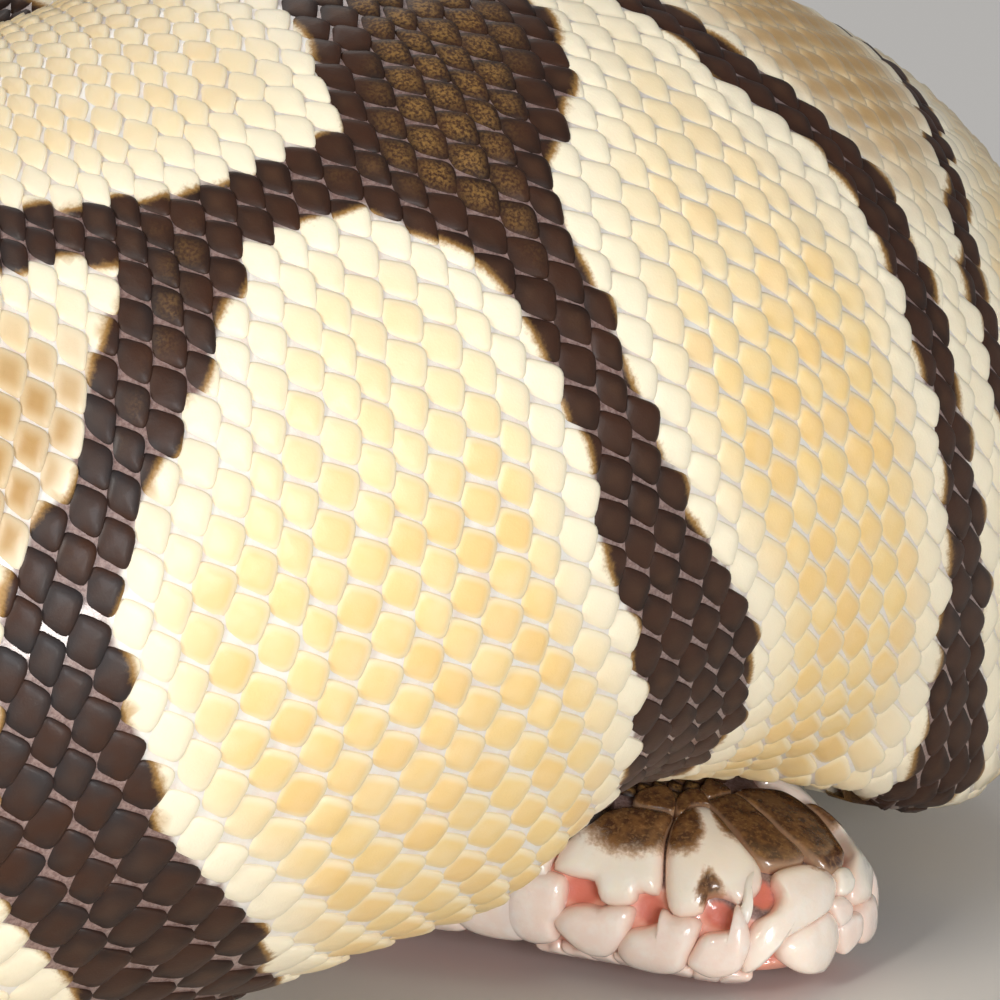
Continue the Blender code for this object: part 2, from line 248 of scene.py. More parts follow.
def soften(values, rounds):
    values = values.copy()
    for _ in range(rounds):
        values[1:-1] += 0.25 * (values[:-2] - 2.0 * values[1:-1] + values[2:])
    return values


def laid_path():
    """The path laid through the listed places, from the back of the head on, with how firmly each place is
    held.
    """
    back, _, _ = head_axis()
    root = SNOUT + back * PATH_START + np.array([0, 0, 9.0])
    start = [root, root + back * 8.0 + np.array([0, 0, 0.8])]
    path = spline(start + COIL_PLACES + FRONT_COIL + BACK_PLACES, PATH_STEP)
    front = np.array(FRONT_COIL + BACK_PLACES[:2], float)
    nearest = np.min(np.linalg.norm(path[:, None] - front[None], axis=2), axis=1)
    held = 1.0 - smooth_step(nearest, 3.0, 26.0)
    index = np.arange(len(path))
    held = np.maximum(held, np.clip(1.5 - index / 3.0, 0.0, 1.0))
    held = np.maximum(held, np.clip(1.2 - (len(path) - 1 - index) / 4.0, 0.0, 1.0))
    return path, held


def settle(path, held):
    """Pushes overlapping lengths apart, presses them down and keeps the path smooth and its length."""
    first = path.copy()
    count = len(path)
    spacing = np.linalg.norm(np.diff(path, axis=0), axis=1).mean()
    along = PATH_START + spacing * np.arange(count)
    radius = soften(body_radius(along, along[-1]), 12)
    apart = np.abs(along[:, None] - along[None])
    reach = CLOSEST_SHARE * (radius[:, None] + radius[None])
    far = apart > NEIGHBOUR_SHARE * (radius[:, None] + radius[None])
    free = (1.0 - held)[:, None]
    for _ in range(SETTLE_ROUNDS):
        offset = path[:, None] - path[None]
        distance = np.linalg.norm(offset, axis=2) + 1e-9
        depth = np.where(far, np.clip(reach - distance, 0.0, None), 0.0)
        push = (offset / distance[:, :, None]) * depth[:, :, None]
        move = PUSH_APART * push.sum(axis=1)
        move[:, 2] -= SINK
        bend = np.zeros_like(path)
        bend[2:-2] = (4.0 * (path[1:-3] + path[3:-1]) - path[:-4] - path[4:] - 6.0 * path[2:-2]) / 6.0
        path = path + free * (move + STIFFNESS * bend)
        for _ in range(4):
            step = np.diff(path, axis=0)
            size = np.linalg.norm(step, axis=1, keepdims=True)
            pull = LENGTH_PULL * (size - spacing) * step / size
            path[:-1] += free[:-1] * pull
            path[1:] -= free[1:] * pull
        path += HOLD_PULL * held[:, None] * (first - path)
        path[:, 2] = np.maximum(path[:, 2], FLOOR_SHARE * radius)
    return soften(path, 6), radius


# ---- the head's outline ----
def head_half_width(back):
    """Half width of the head at a distance behind the snout tip."""
    return np.interp(back, [0, 0.6, 2, 5, 9, 14, 20, 28, 35, 41, 46, 50],
                     [2.6, 4.6, 6.6, 8.4, 9.8, 11.8, 14.4, 17.3, 18.2, 17.2, 14.6, 12.3])


def head_top(back):
    return np.interp(back, [0, 0.6, 2, 5, 9, 14, 20, 28, 36, 44, 50],
                     [5.0, 6.4, 7.8, 9.3, 10.9, 12.8, 14.7, 16.6, 17.9, 18.6, 19.4])


def head_bottom(back):
    return np.interp(back, [0, 1.5, 4, 40, 50], [1.4, 0.5, 0.0, 0.0, 0.0])


def head_point(back, across, height):
    direction, right, up = head_axis()
    back, across, height = (np.asarray(value, float)[..., None] for value in (back, across, height))
    return SNOUT + direction * back + right * across + up * height


def head_distance(centre, rays):
    """Distance along each ray to the head, so that the coil above it hollows round it."""
    direction, right, _ = head_axis()
    steps = np.linspace(3.0, 30.0, 55)
    places = centre[:, None, None] + rays[:, :, None] * steps[None, None, :, None]
    local = places - SNOUT
    back = local @ direction
    across = local @ right
    half = head_half_width(back) + HEAD_CLEARANCE
    top = head_top(back) + HEAD_CLEARANCE
    middle = WIDEST_SHARE * top
    reach = np.where(local[..., 2] > middle, top - middle, middle)
    inside = (np.abs(across) / half)**2.4 + (np.abs(local[..., 2] - middle) / reach)**2.3 < 1.0
    inside &= (back > -1.2) & (back < HEAD_LENGTH + 1.0)
    for side in (1, -1):
        away = places - head_point(EYE_FROM_SNOUT, side * EYE_ACROSS, EYE_HEIGHT)
        inside |= (away**2).sum(axis=-1) < (EYE_RADIUS + EYE_CLEARANCE)**2
    return np.where(inside.any(axis=2), steps[inside.argmax(axis=2)] - 0.5, FAR_AWAY)


def fullness(along, turn):
    """Extra radius where the front coil is pressed up over the head or sags down beside it."""
    turn = (np.degrees(turn) + 180.0) % 360.0 - 180.0
    return sum(np.interp(along, places, sizes) * np.exp(-((turn - middle) / reach)**2)
               for places, sizes, middle, reach in FRONT_FULLNESS)


class Body:
    """The whole animal's surface, read by distance from the snout and by angle round the body.

    The angle is 0 level with the floor on the animal's left, and a quarter turn is up.
    """

    RING_ANGLES = 144

    def __init__(self):
        path, held = laid_path()
        self.path, self.radius = settle(path, held)
        steps = np.linalg.norm(np.diff(self.path, axis=0), axis=1)
        self.along = PATH_START + np.concatenate([[0.0], np.cumsum(steps)])
        self.total = self.along[-1]
        self.stations = np.concatenate([
            [0.0, 0.15, 0.35, 0.6, 1.0, 1.5], np.arange(2.0, 56.0, 0.75),
            np.arange(56.0, self.total - 0.4, 0.9), [self.total]])
        self.angles = np.linspace(0.0, 2.0 * np.pi, self.RING_ANGLES, endpoint=False)
        self.surface, self.pressed = self.measure()
        self.normals = self.outward()

    def centre(self, along):
        return np.stack([np.interp(along, self.along, self.path[:, k]) for k in range(3)], axis=-1)

    def rays(self, along):
        ahead = self.centre(np.minimum(along + 4.0, self.total))
        behind = self.centre(np.maximum(along - 4.0, self.along[0]))
        direction = unit(ahead - behind)
        up = unit(np.array([0.0, 0.0, 1.0]) - direction[..., 2:3] * direction)
        side = np.cross(direction, up)
        turn = self.angles
        return np.cos(turn)[None, :, None] * side[:, None] + np.sin(turn)[None, :, None] * up[:, None]

    def reach(self, along, centre, rays):
        """How far the skin lies from the centre along each ray, after the lengths press on each other."""
        round_reach = np.interp(along, self.along, self.radius)
        offset = self.path[None] - centre[:, None]
        apart = np.abs(self.along[None] - along[:, None])
        touching = apart > NEIGHBOUR_SHARE * (self.radius[None] + round_reach[:, None])
        size = np.linalg.norm(offset, axis=2)
        face = (size**2 + round_reach[:, None]**2 - self.radius[None]**2) / (2.0 * size + 1e-9)
        firm = (self.along < FIRM_NECK)[None] & (along >= FIRM_NECK)[:, None]
        face = np.where(firm, size - self.radius[None], face)
        touching &= (along >= FIRM_NECK)[:, None]
        limit = np.full(rays.shape[:2], FAR_AWAY)
        for n in range(rays.shape[1]):
            toward = np.einsum("ijk,ik->ij", offset, rays[:, n])
            usable = touching & (toward > 1e-3)
            safe = np.where(usable, toward, 1.0)
            cut = (face - 0.5 * TOUCH_GAP) * size / safe
            limit[:, n] = np.where(usable, cut, FAR_AWAY).min(axis=1)
        downward = np.maximum(-rays[..., 2], 1e-3)
        floor = np.where(rays[..., 2] < -1e-3, centre[:, None, 2] / downward, FAR_AWAY)
        near = np.linalg.norm(centre[:, :2] - head_point(20.0, 0.0, 0.0)[:2], axis=1) < 75.0
        round_reach = round_reach[:, None] + fullness(along[:, None], self.angles[None])
        pressed = round_reach - limit
        limit = np.minimum(limit, floor)
        if near.any():
            over = np.flatnonzero(near)
            for part in np.array_split(over, max(1, len(over) // 30)):
                limit[part] = np.minimum(limit[part], head_distance(centre[part], rays[part]))
        low = np.minimum(limit, round_reach)
        return low - EDGE_SOFTNESS * np.log1p(np.exp(-np.abs(limit - round_reach) / EDGE_SOFTNESS)), pressed

    def head_ring(self, back):
        """Outline across the head: fuller than an ellipse, flatter on the crown."""
        half = head_half_width(back)[:, None]
        top = head_top(back)[:, None]
        bottom = head_bottom(back)[:, None]
        turn = np.pi - self.angles[None]
        across = np.sign(np.cos(turn)) * np.abs(np.cos(turn))**0.8
        upward = np.sign(np.sin(turn)) * np.abs(np.sin(turn))**0.85
        middle = bottom + WIDEST_SHARE * (top - bottom)
        height = middle + upward * np.where(upward > 0, top - middle, middle - bottom)
        return head_point(np.repeat(back[:, None], len(self.angles), axis=1), half * across, height)

    def measure(self):
        along = self.stations
        bodyward = np.maximum(along, PATH_START)
        centre = self.centre(bodyward)
        rays = self.rays(bodyward)
        reach, pressed = self.reach(bodyward, centre, rays)
        points = centre[:, None] + rays * reach[:, :, None]
        head = self.head_ring(np.minimum(along, HEAD_LENGTH))
        blend = smooth_step(along, PATH_START, HEAD_LENGTH + 7.0)[:, None, None]
        past = np.maximum(along - HEAD_LENGTH, 0.0)[:, None, None]
        head = head + past * head_axis()[0]
        points = head * (1.0 - blend) + points * blend
        return points, pressed

    def outward(self):
        ahead = np.gradient(self.surface, self.stations, axis=0)
        around = np.roll(self.surface, -1, axis=1) - np.roll(self.surface, 1, axis=1)
        normals = unit(np.cross(ahead, around))
        middle = self.surface.mean(axis=1, keepdims=True)
        flip = np.sign(((self.surface - middle) * normals).sum(axis=(1, 2)))
        return normals * flip[:, None, None]

    def read(self, grid, along, turn):
        """The grid's value at any distance along and angle round, between its samples."""
        row = np.interp(along, self.stations, np.arange(len(self.stations)))
        low = np.clip(row.astype(int), 0, len(self.stations) - 2)
        part = row - low
        column = np.mod(turn / (2.0 * np.pi) * self.RING_ANGLES, self.RING_ANGLES)
        left = column.astype(int) % self.RING_ANGLES
        right = (left + 1) % self.RING_ANGLES
        across = column - np.floor(column)
        if grid.ndim == 3:
            part = part[..., None]
            across = across[..., None]
        near = grid[low, left] * (1.0 - across) + grid[low, right] * across
        far = grid[low + 1, left] * (1.0 - across) + grid[low + 1, right] * across
        return near * (1.0 - part) + far * part

    def place(self, along, turn, lift):
        """A point over the skin: lift 0 lies on it and COAT_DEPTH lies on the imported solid's face."""
        normal = unit(self.read(self.normals, along, turn))
        point = self.read(self.surface, along, turn) + normal * (lift - COAT_DEPTH)[..., None]
        point[..., 2] = np.maximum(point[..., 2], FLOOR_GAP)
        return point


BODY_SHAPE = Body()


# ---- where the back, sides and belly lie ----
def back_turn(along):
    """Angle round the body at which the middle of the back lies."""
    return np.radians(np.interp(along, [0, 60, 300, 480, 505, 545, 600, BODY_SHAPE.total],
                                [90, 90, 84, 60, 52, 68, 80, 90]))


def side_angle(along, turn):
    """Degrees from the middle of the back, positive down the animal's left side."""
    return np.mod(np.degrees(back_turn(along) - turn) + 180.0, 360.0) - 180.0


# ---- markings ----
FRONT_BANDS = [
    [(545, 160, 1.6), (543, 135, 2.8), (541, 112, 4.4), (540, 92, 5.5), (539, 66, 6.2), (537, 56, 6.0),
     (535.3, 49, 5.4), (535.8, 43, 4.0), (536.2, 37, 2.9), (536.4, 31, 2.3), (537, 16, 2.1),
     (538, -2, 3.0), (540, -12, 3.6), (542.5, -24, 5.0), (546, -40, 6.0), (550, -60, 7.0),
     (556, -92, 7.0)],
    [(524, 47, 3.0), (521, 36, 2.6), (517, 22, 1.9), (514, 12, 2.7), (513, -6, 3.9), (513, -22, 4.6),
     (515.5, -38, 5.0), (517.5, -60, 5.5), (519, -92, 5.5)],
    [(492, 66, 1.0), (500, 60, 2.8), (512, 57, 2.0), (519, 55, 1.8), (524, 50.5, 2.1), (533, 50, 2.4)],
    [(541, 128, 1.4), (543, 100, 1.6), (546, 78, 1.8), (548, 63, 1.4), (550, 50, 1.6), (554, 33, 1.7),
     (556, 15, 1.6), (559, -2, 1.4), (562, -12, 1.7), (566, -26, 2.1), (571, -42, 2.6), (574, -60, 3.0),
     (576, -92, 3.0)],
    [(583, 150, 1.2), (579, 112, 1.8), (574, 84, 1.8), (567, 56, 1.3), (562, 40, 1.2), (560, 24, 1.0),
     (562, 8, 1.0), (567, -6, 1.2)],
    [(592, 150, 1.4), (590, 118, 3.2), (588, 88, 4.2), (586, 56, 3.0), (587, 22, 2.0), (589, -10, 2.0),
     (592, -50, 2.6), (594, -92, 2.8)],
    [(488, 150, 1.4), (489, 110, 3.4), (490, 84, 4.0), (492, 66, 2.2)],
]
FRONT_STRETCH = 1.35
FRONT_SPAN = (487.0, 596.0)


def band_distance(along, turn_mm, places, stretch):
    """Distance to a band that runs through places with a half width at each, negative inside it."""
    nearest = np.full(along.shape, 99.0)
    line = [(s * stretch, math.radians(turn) * BODY_RADIUS, width) for s, turn, width in places]
    for (x0, y0, w0), (x1, y1, w1) in zip(line, line[1:]):
        dx = x1 - x0
        dy = y1 - y0
        part = np.clip(((along * stretch - x0) * dx + (turn_mm - y0) * dy) / (dx * dx + dy * dy), 0.0, 1.0)
        gap = np.hypot(along * stretch - x0 - part * dx, turn_mm - y0 - part * dy) - w0 - part * (w1 - w0)
        nearest = np.minimum(nearest, gap)
    return nearest


def front_marks(along, turn):
    """The bands of the coil that lies in front, as distances."""
    turn = np.mod(turn + math.pi / 2, 2 * math.pi) - math.pi / 2
    turn_mm = turn * BODY_RADIUS
    nearest = np.full(along.shape, 99.0)
    for places in FRONT_BANDS:
        nearest = np.minimum(nearest, band_distance(along, turn_mm, places, FRONT_STRETCH))
    return nearest


def repeated_marks(along, angle, girth):
    """The bands of the rest of the body: wavy crossbands, joined along the flanks here and there."""
    rng = np.random.default_rng(7)
    nearest = np.full(along.shape, 99.0)
    angle_mm = np.radians(angle) * girth
    start = 66.0
    bands = []
    while start < BODY_SHAPE.total - 12.0:
        bands.append((start, *rng.uniform(0.0, 6.28, 3), rng.uniform(0.8, 1.2)))
        thick = np.interp(start, [60, 420, 700, 940], [0.2, 1, 1, 0.1])
        start += rng.uniform(23.0, 35.0) * (0.62 + 0.38 * thick)
    share = girth / BODY_RADIUS
    for place, first, second, third, size in bands:
        if FRONT_SPAN[0] - 6.0 < place < FRONT_SPAN[1] + 4.0:
            continue
        wave = 5.0 * np.sin(np.radians(angle) * 1.4 + first) + 2.2 * np.sin(np.radians(angle) * 3.3 + second)
        width = 2.9 + 0.9 * np.sin(np.radians(angle) * 2.0 + third) + 4.2 * np.exp(-(angle / 30.0)**2)
        width = width * size * share * (1.0 - smooth_step(np.abs(angle), 118.0, 142.0)) - 0.3
        nearest = np.minimum(nearest, np.abs(along - place - wave * share) * 1.1 - width)
    for side in (1.0, -1.0):
        line = side * (46.0 + 9.0 * np.sin(along / 13.0 + side))
        on = np.sin(along / 29.0 + 1.7 * side) + 0.35 * np.sin(along / 11.0)
        width = (2.0 * share) * smooth_step(on, -0.1, 0.35) - 1.2 * (1.0 - smooth_step(on, -0.3, 0.1))
        gap = np.abs(angle_mm - np.radians(line) * girth) - width
        nearest = np.minimum(nearest, gap)
    return nearest


def patch(along, turn, middle, reach):
    """1 in the middle of a soft round patch and 0 outside it."""
    turn = np.degrees(np.mod(turn + math.pi / 2, 2 * math.pi) - math.pi / 2)
    away = np.hypot((along - middle[0]) / reach[0], (turn - middle[1]) / reach[1])
    return 1.0 - smooth_step(away, 0.35, 1.0)


def markings(along, turn):
    """For each place: dark, yellow, golden and tan shares of its colour.

    On a dark band tan means a painted bluish sheen, a reflection of cool light painted into the colour.
    """
    angle = side_angle(along, turn)
    girth = np.interp(along, BODY_SHAPE.along, BODY_SHAPE.radius)
    inside = smooth_step(along, FRONT_SPAN[0] - 5.0, FRONT_SPAN[0] + 3.0) * (
        1.0 - smooth_step(along, FRONT_SPAN[1] - 3.0, FRONT_SPAN[1] + 5.0))
    degrees = np.mod(np.degrees(turn) + 180.0, 360.0) - 180.0
    front = inside * (1.0 - smooth_step(np.abs(degrees - 35.0), 118.0, 140.0))
    here = front_marks(along, turn) + 14.0 * (1.0 - front)
    there = repeated_marks(along, angle, girth) + 14.0 * front
    distance = np.minimum(np.minimum(here, there), 60.0)
    dark = 1.0 - smooth_step(distance, -0.28, 0.28)
    flank = smooth_step(np.abs(angle), 30.0, 60.0) * (1.0 - smooth_step(np.abs(angle), 115.0, 140.0))
    yellow = smooth_step(distance, 0.8, 5.5) * (0.5 + 0.5 * flank)
    gold = smooth_step(-distance, 1.6, 4.0) * (1.0 - smooth_step(np.abs(angle), 26.0, 46.0))
    tan = patch(along, turn, (512.0, 30.0), (11.0, 23.0))
    tan = tan + 0.9 * patch(along, turn, (557.0, 56.0), (9.0, 30.0))
    # painted bluish sheen: over the dark band low on the front coil, a reflection of cool light is painted
    # into the colour
    painted_blue_sheen = patch(along, turn, (512.0, 25.0), (14.0, 75.0))
    tan = np.where(inside > 0.5, np.where(distance > 0.2, tan * smooth_step(distance, 0.0, 1.0), painted_blue_sheen), 0.0)
    crown = (1.0 - smooth_step(along, 44.0, 50.0)) * (1.0 - smooth_step(np.abs(angle), 56.0, 64.0))
    dark = np.maximum(dark * smooth_step(along, 44.0, 50.0), crown)
    gold = np.maximum(gold, crown)
    belly = smooth_step(np.abs(angle), BELLY_EDGE - 12.0, BELLY_EDGE + 2.0)
    return dark * (1.0 - belly), yellow * (1.0 - belly), gold, np.clip(tan, 0.0, 1.0)


# ---- the grid of scales ----
def fan_amount(along):
    """How far the rings of scales lean on the front coil, whose lower side is stretched."""
    return np.interp(along, [470, 505, 522, 566, 625], [0.0, -6.8, 0.0, 17.6, 0.0]) / SCALE_PITCH


def ring_count_table():
    along = np.linspace(0.0, BODY_SHAPE.total, 4000)
    girth = np.interp(along, BODY_SHAPE.along, BODY_SHAPE.radius)
    pitch = SCALE_PITCH * (girth / BODY_RADIUS)**0.8 * np.interp(along, [0, 50, 70], [1.0, 1.25, 1.0])
    rings = np.concatenate([[0.0], np.cumsum(np.diff(along) / (0.5 * (pitch[1:] + pitch[:-1])))])
    return along, rings


RING_ALONG, RING_NUMBER = ring_count_table()


def ring_number(along, turn):
    """Which ring of scales passes through a place."""
    return np.interp(along, RING_ALONG, RING_NUMBER) + fan_amount(along) * np.sin(turn)


def row_angle(row, share):
    """Degrees from the middle of the back of a row; rows widen towards the belly."""
    row = row * share
    return 4.35 * row + 0.0008 * row * np.abs(row) * np.abs(row)


class Scale:
    """One scale's outline and relief, on rings from its middle to its rim and down its edge.

    x and y run from -1 to 1 along its sides. Each side says how many rings of scales and how many rows it
    crosses, and lean says which way the free edge faces.
    """

    SQUARENESS = 4.2

    def __init__(self, corners, rings, sides=((0.39, -0.36), (0.25, 0.47)), lean=(0.5, 0.5)):
        turn = 2.0 * np.pi * (np.arange(corners) + 0.5) / corners
        cosine = np.cos(turn)
        sine = np.sin(turn)
        across = np.sign(cosine) * np.abs(cosine)**(2.0 / self.SQUARENESS)
        upward = np.sign(sine) * np.abs(sine)**(2.0 / self.SQUARENESS)
        self.x = np.concatenate([[0.0]] + [ring * across for ring in rings] + [0.99 * across])
        self.y = np.concatenate([[0.0]] + [ring * upward for ring in rings] + [0.99 * upward])
        self.ringward = sides[0][0] * self.x + sides[1][0] * self.y
        self.rowward = sides[0][1] * self.x + sides[1][1] * self.y
        self.radius = np.concatenate([[0.0]] + [np.full(corners, ring) for ring in rings]
                                     + [np.full(corners, 1.15)])
        self.tailward = lean[0] * self.x + lean[1] * self.y
        self.faces = self.fans(corners, len(rings) + 1)

    def relief(self, tilt, dome):
        """Height over the skin of every point of the scale."""
        lift = tilt * smooth_step(self.tailward, -0.8, 1.0) - ROOT_DEPTH
        lift += dome * (1.0 - np.minimum(self.radius, 1.0)**2)
        lift -= RIM_DROP * smooth_step(self.radius, 0.88, 1.0)
        return np.where(self.radius > 1.0, EDGE_FOOT, lift)

    @staticmethod
    def fans(corners, rings):
        faces = []
        for n in range(corners):
            m = (n + 1) % corners
            faces.append((0, 1 + n, 1 + m))
            for k in range(rings - 1):
                low = 1 + k * corners
                high = low + corners
                faces.append((low + n, high + n, high + m))
                faces.append((low + n, high + m, low + m))
        return np.array(faces)


FINE_SCALE = Scale(20, [0.5, 0.8, 0.94, 1.0])
PLAIN_SCALE = Scale(8, [0.8])
BELLY_PLATE = Scale(40, [0.4, 0.7, 0.88, 0.97, 1.0], ((0.0, 1.0), (1.2, 0.0)), (0.0, 1.0))


def scale_places(low, high, share):
    """Distance along, row angle and size of every scale between two distances from the snout."""
    found = []
    dense = np.arange(low - 12.0, high + 12.0, 0.2)
    rows = int(ROWS_EACH_SIDE / share)
    for row in range(-rows, rows + 1):
        angle = row_angle(float(row), share)
        turn = back_turn(dense) - math.radians(angle)
        number = ring_number(dense, turn)
        first = math.ceil(number[0])
        wanted = np.arange(first, math.floor(number[-1])) + 0.5 * (row % 2)
        if share != 1.0:
            wanted = wanted[::int(round(share))]
        along = np.interp(wanted, number, dense)
        keep = (along >= low) & (along < high)
        along = along[keep]
        width = row_angle(row + 0.5, share) - row_angle(row - 0.5, share)
        found.append(np.stack([along, np.full(len(along), angle), np.full(len(along), width),
                               np.full(len(along), share)], axis=1))
    return np.concatenate(found)


def lay_scales(places, scale, shuffle):
    """Points of every scale over the skin, with its colours."""
    along, angle, width, share = places.T
    step = 0.5
    turn = back_turn(along) - np.radians(angle)
    ahead = back_turn(along + step) - np.radians(angle)
    behind = back_turn(along - step) - np.radians(angle)
    per_ring = (ring_number(along + step, ahead) - ring_number(along - step, behind)) / (2.0 * step)
    degree = math.radians(1.0)
    per_degree = (ring_number(along, turn - degree) - ring_number(along, turn + degree)) / 2.0
    side = np.where(angle < 0.0, -1.0, 1.0)
    grow = 1.0 + 0.03 * shuffle.standard_normal(len(along))
    degrees = -side[:, None] * scale.rowward[None] * grow[:, None] * width[:, None]
    rings = scale.ringward[None] * grow[:, None] * share[:, None]
    moved = (rings - per_degree[:, None] * degrees) / per_ring[:, None]
    s = along[:, None] + moved
    s = np.clip(s, 1.0, BODY_SHAPE.total - 0.05)
    turn_at = back_turn(s) - np.radians(angle[:, None] + degrees)
    girth = np.interp(along, BODY_SHAPE.along, BODY_SHAPE.radius)
    size = (girth / BODY_RADIUS)**0.7 * share**0.6
    coat = bpy.context.scene.python_coat
    stand = 1.0 + 0.1 * shuffle.standard_normal((len(along), 1))
    lift = scale.relief(coat.tilt / MM, coat.dome / MM)[None] * size[:, None] * stand
    lean = 0.02 * shuffle.standard_normal((len(along), 2))
    lift = lift + (lean[:, :1] * scale.x[None] + lean[:, 1:] * scale.y[None]) * (lift > 0)
    lift = np.minimum(lift, COAT_DEPTH - 0.05)
    points = BODY_SHAPE.place(s, turn_at, lift)
    hold = 0.55
    seen_along = along[:, None] + hold * moved
    seen_turn = back_turn(seen_along) - np.radians(angle[:, None] + hold * degrees)
    dark, yellow, gold, tan = markings(seen_along, seen_turn)
    tone = np.repeat(shuffle.uniform(0.0, 1.0, len(along))[:, None], points.shape[1], axis=1)
    rim = np.repeat(scale.radius[None], len(along), axis=0)
    marks = np.stack([dark, yellow, gold, tan], axis=-1)
    lay = np.stack([rim, tone, np.zeros_like(rim), np.ones_like(rim)], axis=-1)
    return points, marks, lay


# ---- the head's plates ----
HEAD_MIDDLE = (11.0, 0.0, 6.5)
PLATE_CORNERS = 56
PLATE_RINGS = (0.22, 0.42, 0.6, 0.74, 0.85, 0.92, 0.965, 1.0)

# Each plate: its kind, its height, how square its top is, and its outline in degrees from straight ahead
# towards the animal's right and above the level of the head's middle.
SNOUT_PLATES = [
    ("cream", 0.85, 8, [(60.5, 13), (60.5, 24), (58, 37), (47, 45), (34, 46), (27, 38), (23, 20), (21, 10),
     (25, 4), (31, 1), (34.5, -1), (37.5, 1.5), (43.5, 1.5), (46.5, -4), (51, -6), (57, -6), (59.5, -1)]),
    ("cream", 0.85, 8, [(95, 4), (90, 3), (85, 2.5), (82.5, -3), (80, -5.5), (74, -5), (70.5, -3), (69, 1),
     (63, 0.5), (61.2, 6), (61.2, 14), (61.2, 25), (60, 38), (84, 37), (96, 26), (97, 18), (98, 6)]),
    ("cream", 0.85, 7, [(98.5, 6), (97.5, 18), (97, 26), (108, 27), (116, 12), (112, 3), (99, 1)]),
    ("rostral", 1.0, 5, [(29.5, -7), (23, -3.5), (18.5, 1), (17.5, 8), (2, 8), (-8, 2), (-2, -7), (9, -10),
     (21, -13), (28, -17), (35, -24), (34, -15)]),
    ("rostral", 1.25, 3, [(23, -14), (16, -10), (9, -9), (2, -8), (-3, -12), (-4, -18), (0, -24), (6, -27),
     (14, -26), (20, -21)]),
    ("cream", 0.8, 5, [(35.5, -4), (33.5, 0), (31.5, 5), (28.5, 9.5), (24, 10.5), (27.5, 7), (29.3, 1),
     (30.5, -5), (33, -8)]),
    ("lip", 0.9, 5, [(1, -6), (-6, -5), (-10, -9), (-9, -14), (-3, -15)]),
    ("cream", 0.8, 6, [(-9, 2), (-17, 1), (-13, -6), (-5, -5)]),
    ("lip", 0.9, 5, [(-3, -15), (-9, -12), (-16, -13), (-14, -20), (-5, -24)]),
    ("brown", 0.72, 20, [(27, 52), (26, 38), (23, 26), (21.5, 12), (12, 8.5), (2, 8), (-2, 10), (-3, 20),
     (-7, 33), (-9, 52)]),
    ("brown", 0.72, 20, [(-12, 52), (-26, 50), (-40, 42), (-50, 28), (-38, 13), (-22, 4), (-15, 1),
     (-6, 2), (-3.5, 9), (-4.5, 20), (-9, 34), (-10, 46)]),
    ("brown", 0.72, 20, [(56, 37), (60, 50), (50, 60), (30, 62), (28, 46), (34, 46), (47, 45)]),
    ("brown", 0.72, 20, [(27, 53), (29, 64), (0, 72), (-14, 66), (-11, 53), (8, 54)]),
    ("brown", 0.72, 20, [(84, 38), (88, 48), (76, 58), (62, 52), (59, 39), (67, 38)]),
    ("cream", 0.85, 8, [(-52, 18), (-42, 6), (-26, 2), (-16, -2), (-12, -9), (-20, -12), (-34, -10),
     (-50, -5), (-62, 1), (-60, 12)]),
    ("lip", 0.95, 5, [(-15, -13), (-28, -10), (-33, -16), (-29, -25), (-16, -24)]),
]
LIP_PLATES = [
    ("lip", 0.95, 5, [(52, -23), (50, -16), (46.5, -11), (40, -9), (37.5, -7), (36, -1), (33.5, -1),
     (31, -10), (32, -16), (37, -24), (44, -28)]),
    ("lip", 0.95, 5, [(77, -21), (72.5, -13.5), (66, -11), (61.5, -8), (60.5, -3.5), (57, -5.5),
     (50, -5.5), (47, -7), (48.5, -13), (51, -19), (54, -28), (63, -33), (75, -31)]),
    ("lip", 0.95, 5, [(96, -11), (91, -6.5), (86, -5.5), (82.5, -6), (79, -5), (73, -4.5), (70.5, -6),
     (71.5, -12), (74, -18), (80, -26), (88, -26), (93, -19)]),
    ("lip", 0.95, 5, [(105, 3), (94, 3), (93, -8), (95, -12), (96, -20), (105, -21), (109, -9)]),
]
PITS = [
    ((88.5, -1.0), (7.0, 6.5)), ((65.5, -5.0), (6.0, 7.5)), ((41.0, -4.0), (6.0, 6.5)),
    ((23.5, 3.0), (6.5, 7.0)), ((-3.0, -4.0), (3.5, 4.5)), ((26.0, -19.0), (4.0, 5.0)),
    ((103.0, 0.0), (4.0, 2.5)),
]


def head_inside(points):
    """Less than 1 inside the head's outline."""
    direction, right, _ = head_axis()
    local = points - SNOUT
    back = local @ direction
    across = local @ right
    top = head_top(back)
    bottom = head_bottom(back)
    middle = bottom + WIDEST_SHARE * (top - bottom)
    reach = np.where(local[..., 2] > middle, top - middle, middle - bottom)
    value = (np.abs(across) / head_half_width(back))**2.5 + (np.abs(local[..., 2] - middle) / reach)**2.35
    front = 1.0 + 2.0 * np.maximum(-back, 0.0) + 0.06 * np.minimum(back, 0.0)
    return np.where(back < 0.0, np.maximum(value, front), value)


def head_surface(ahead, rise):
    """A point on the head from its two angles, with the outward direction there."""
    def cast(ahead, rise):
        direction, right, up = head_axis()
        ahead = np.radians(ahead)[..., None]
        rise = np.radians(rise)[..., None]
        ray = (np.sin(ahead) * right - np.cos(ahead) * direction) * np.cos(rise) + np.sin(rise) * up
        low = np.zeros(ray.shape[:-1])
        high = np.full(ray.shape[:-1], 45.0)
        start = head_point(*HEAD_MIDDLE)
        for _ in range(26):
            half = 0.5 * (low + high)
            within = head_inside(start + ray * half[..., None]) < 1.0
            low = np.where(within, half, low)
            high = np.where(within, high, half)
        return start + ray * low[..., None]

    point = cast(ahead, rise)
    step = 3.0
    one = cast(ahead + step, rise) - cast(ahead - step, rise)
    other = cast(ahead, rise + step) - cast(ahead, rise - step)
    normal = unit(np.cross(one, other))
    outward = point - head_point(*HEAD_MIDDLE)
    return point, normal * np.sign((normal * outward).sum(axis=-1, keepdims=True))


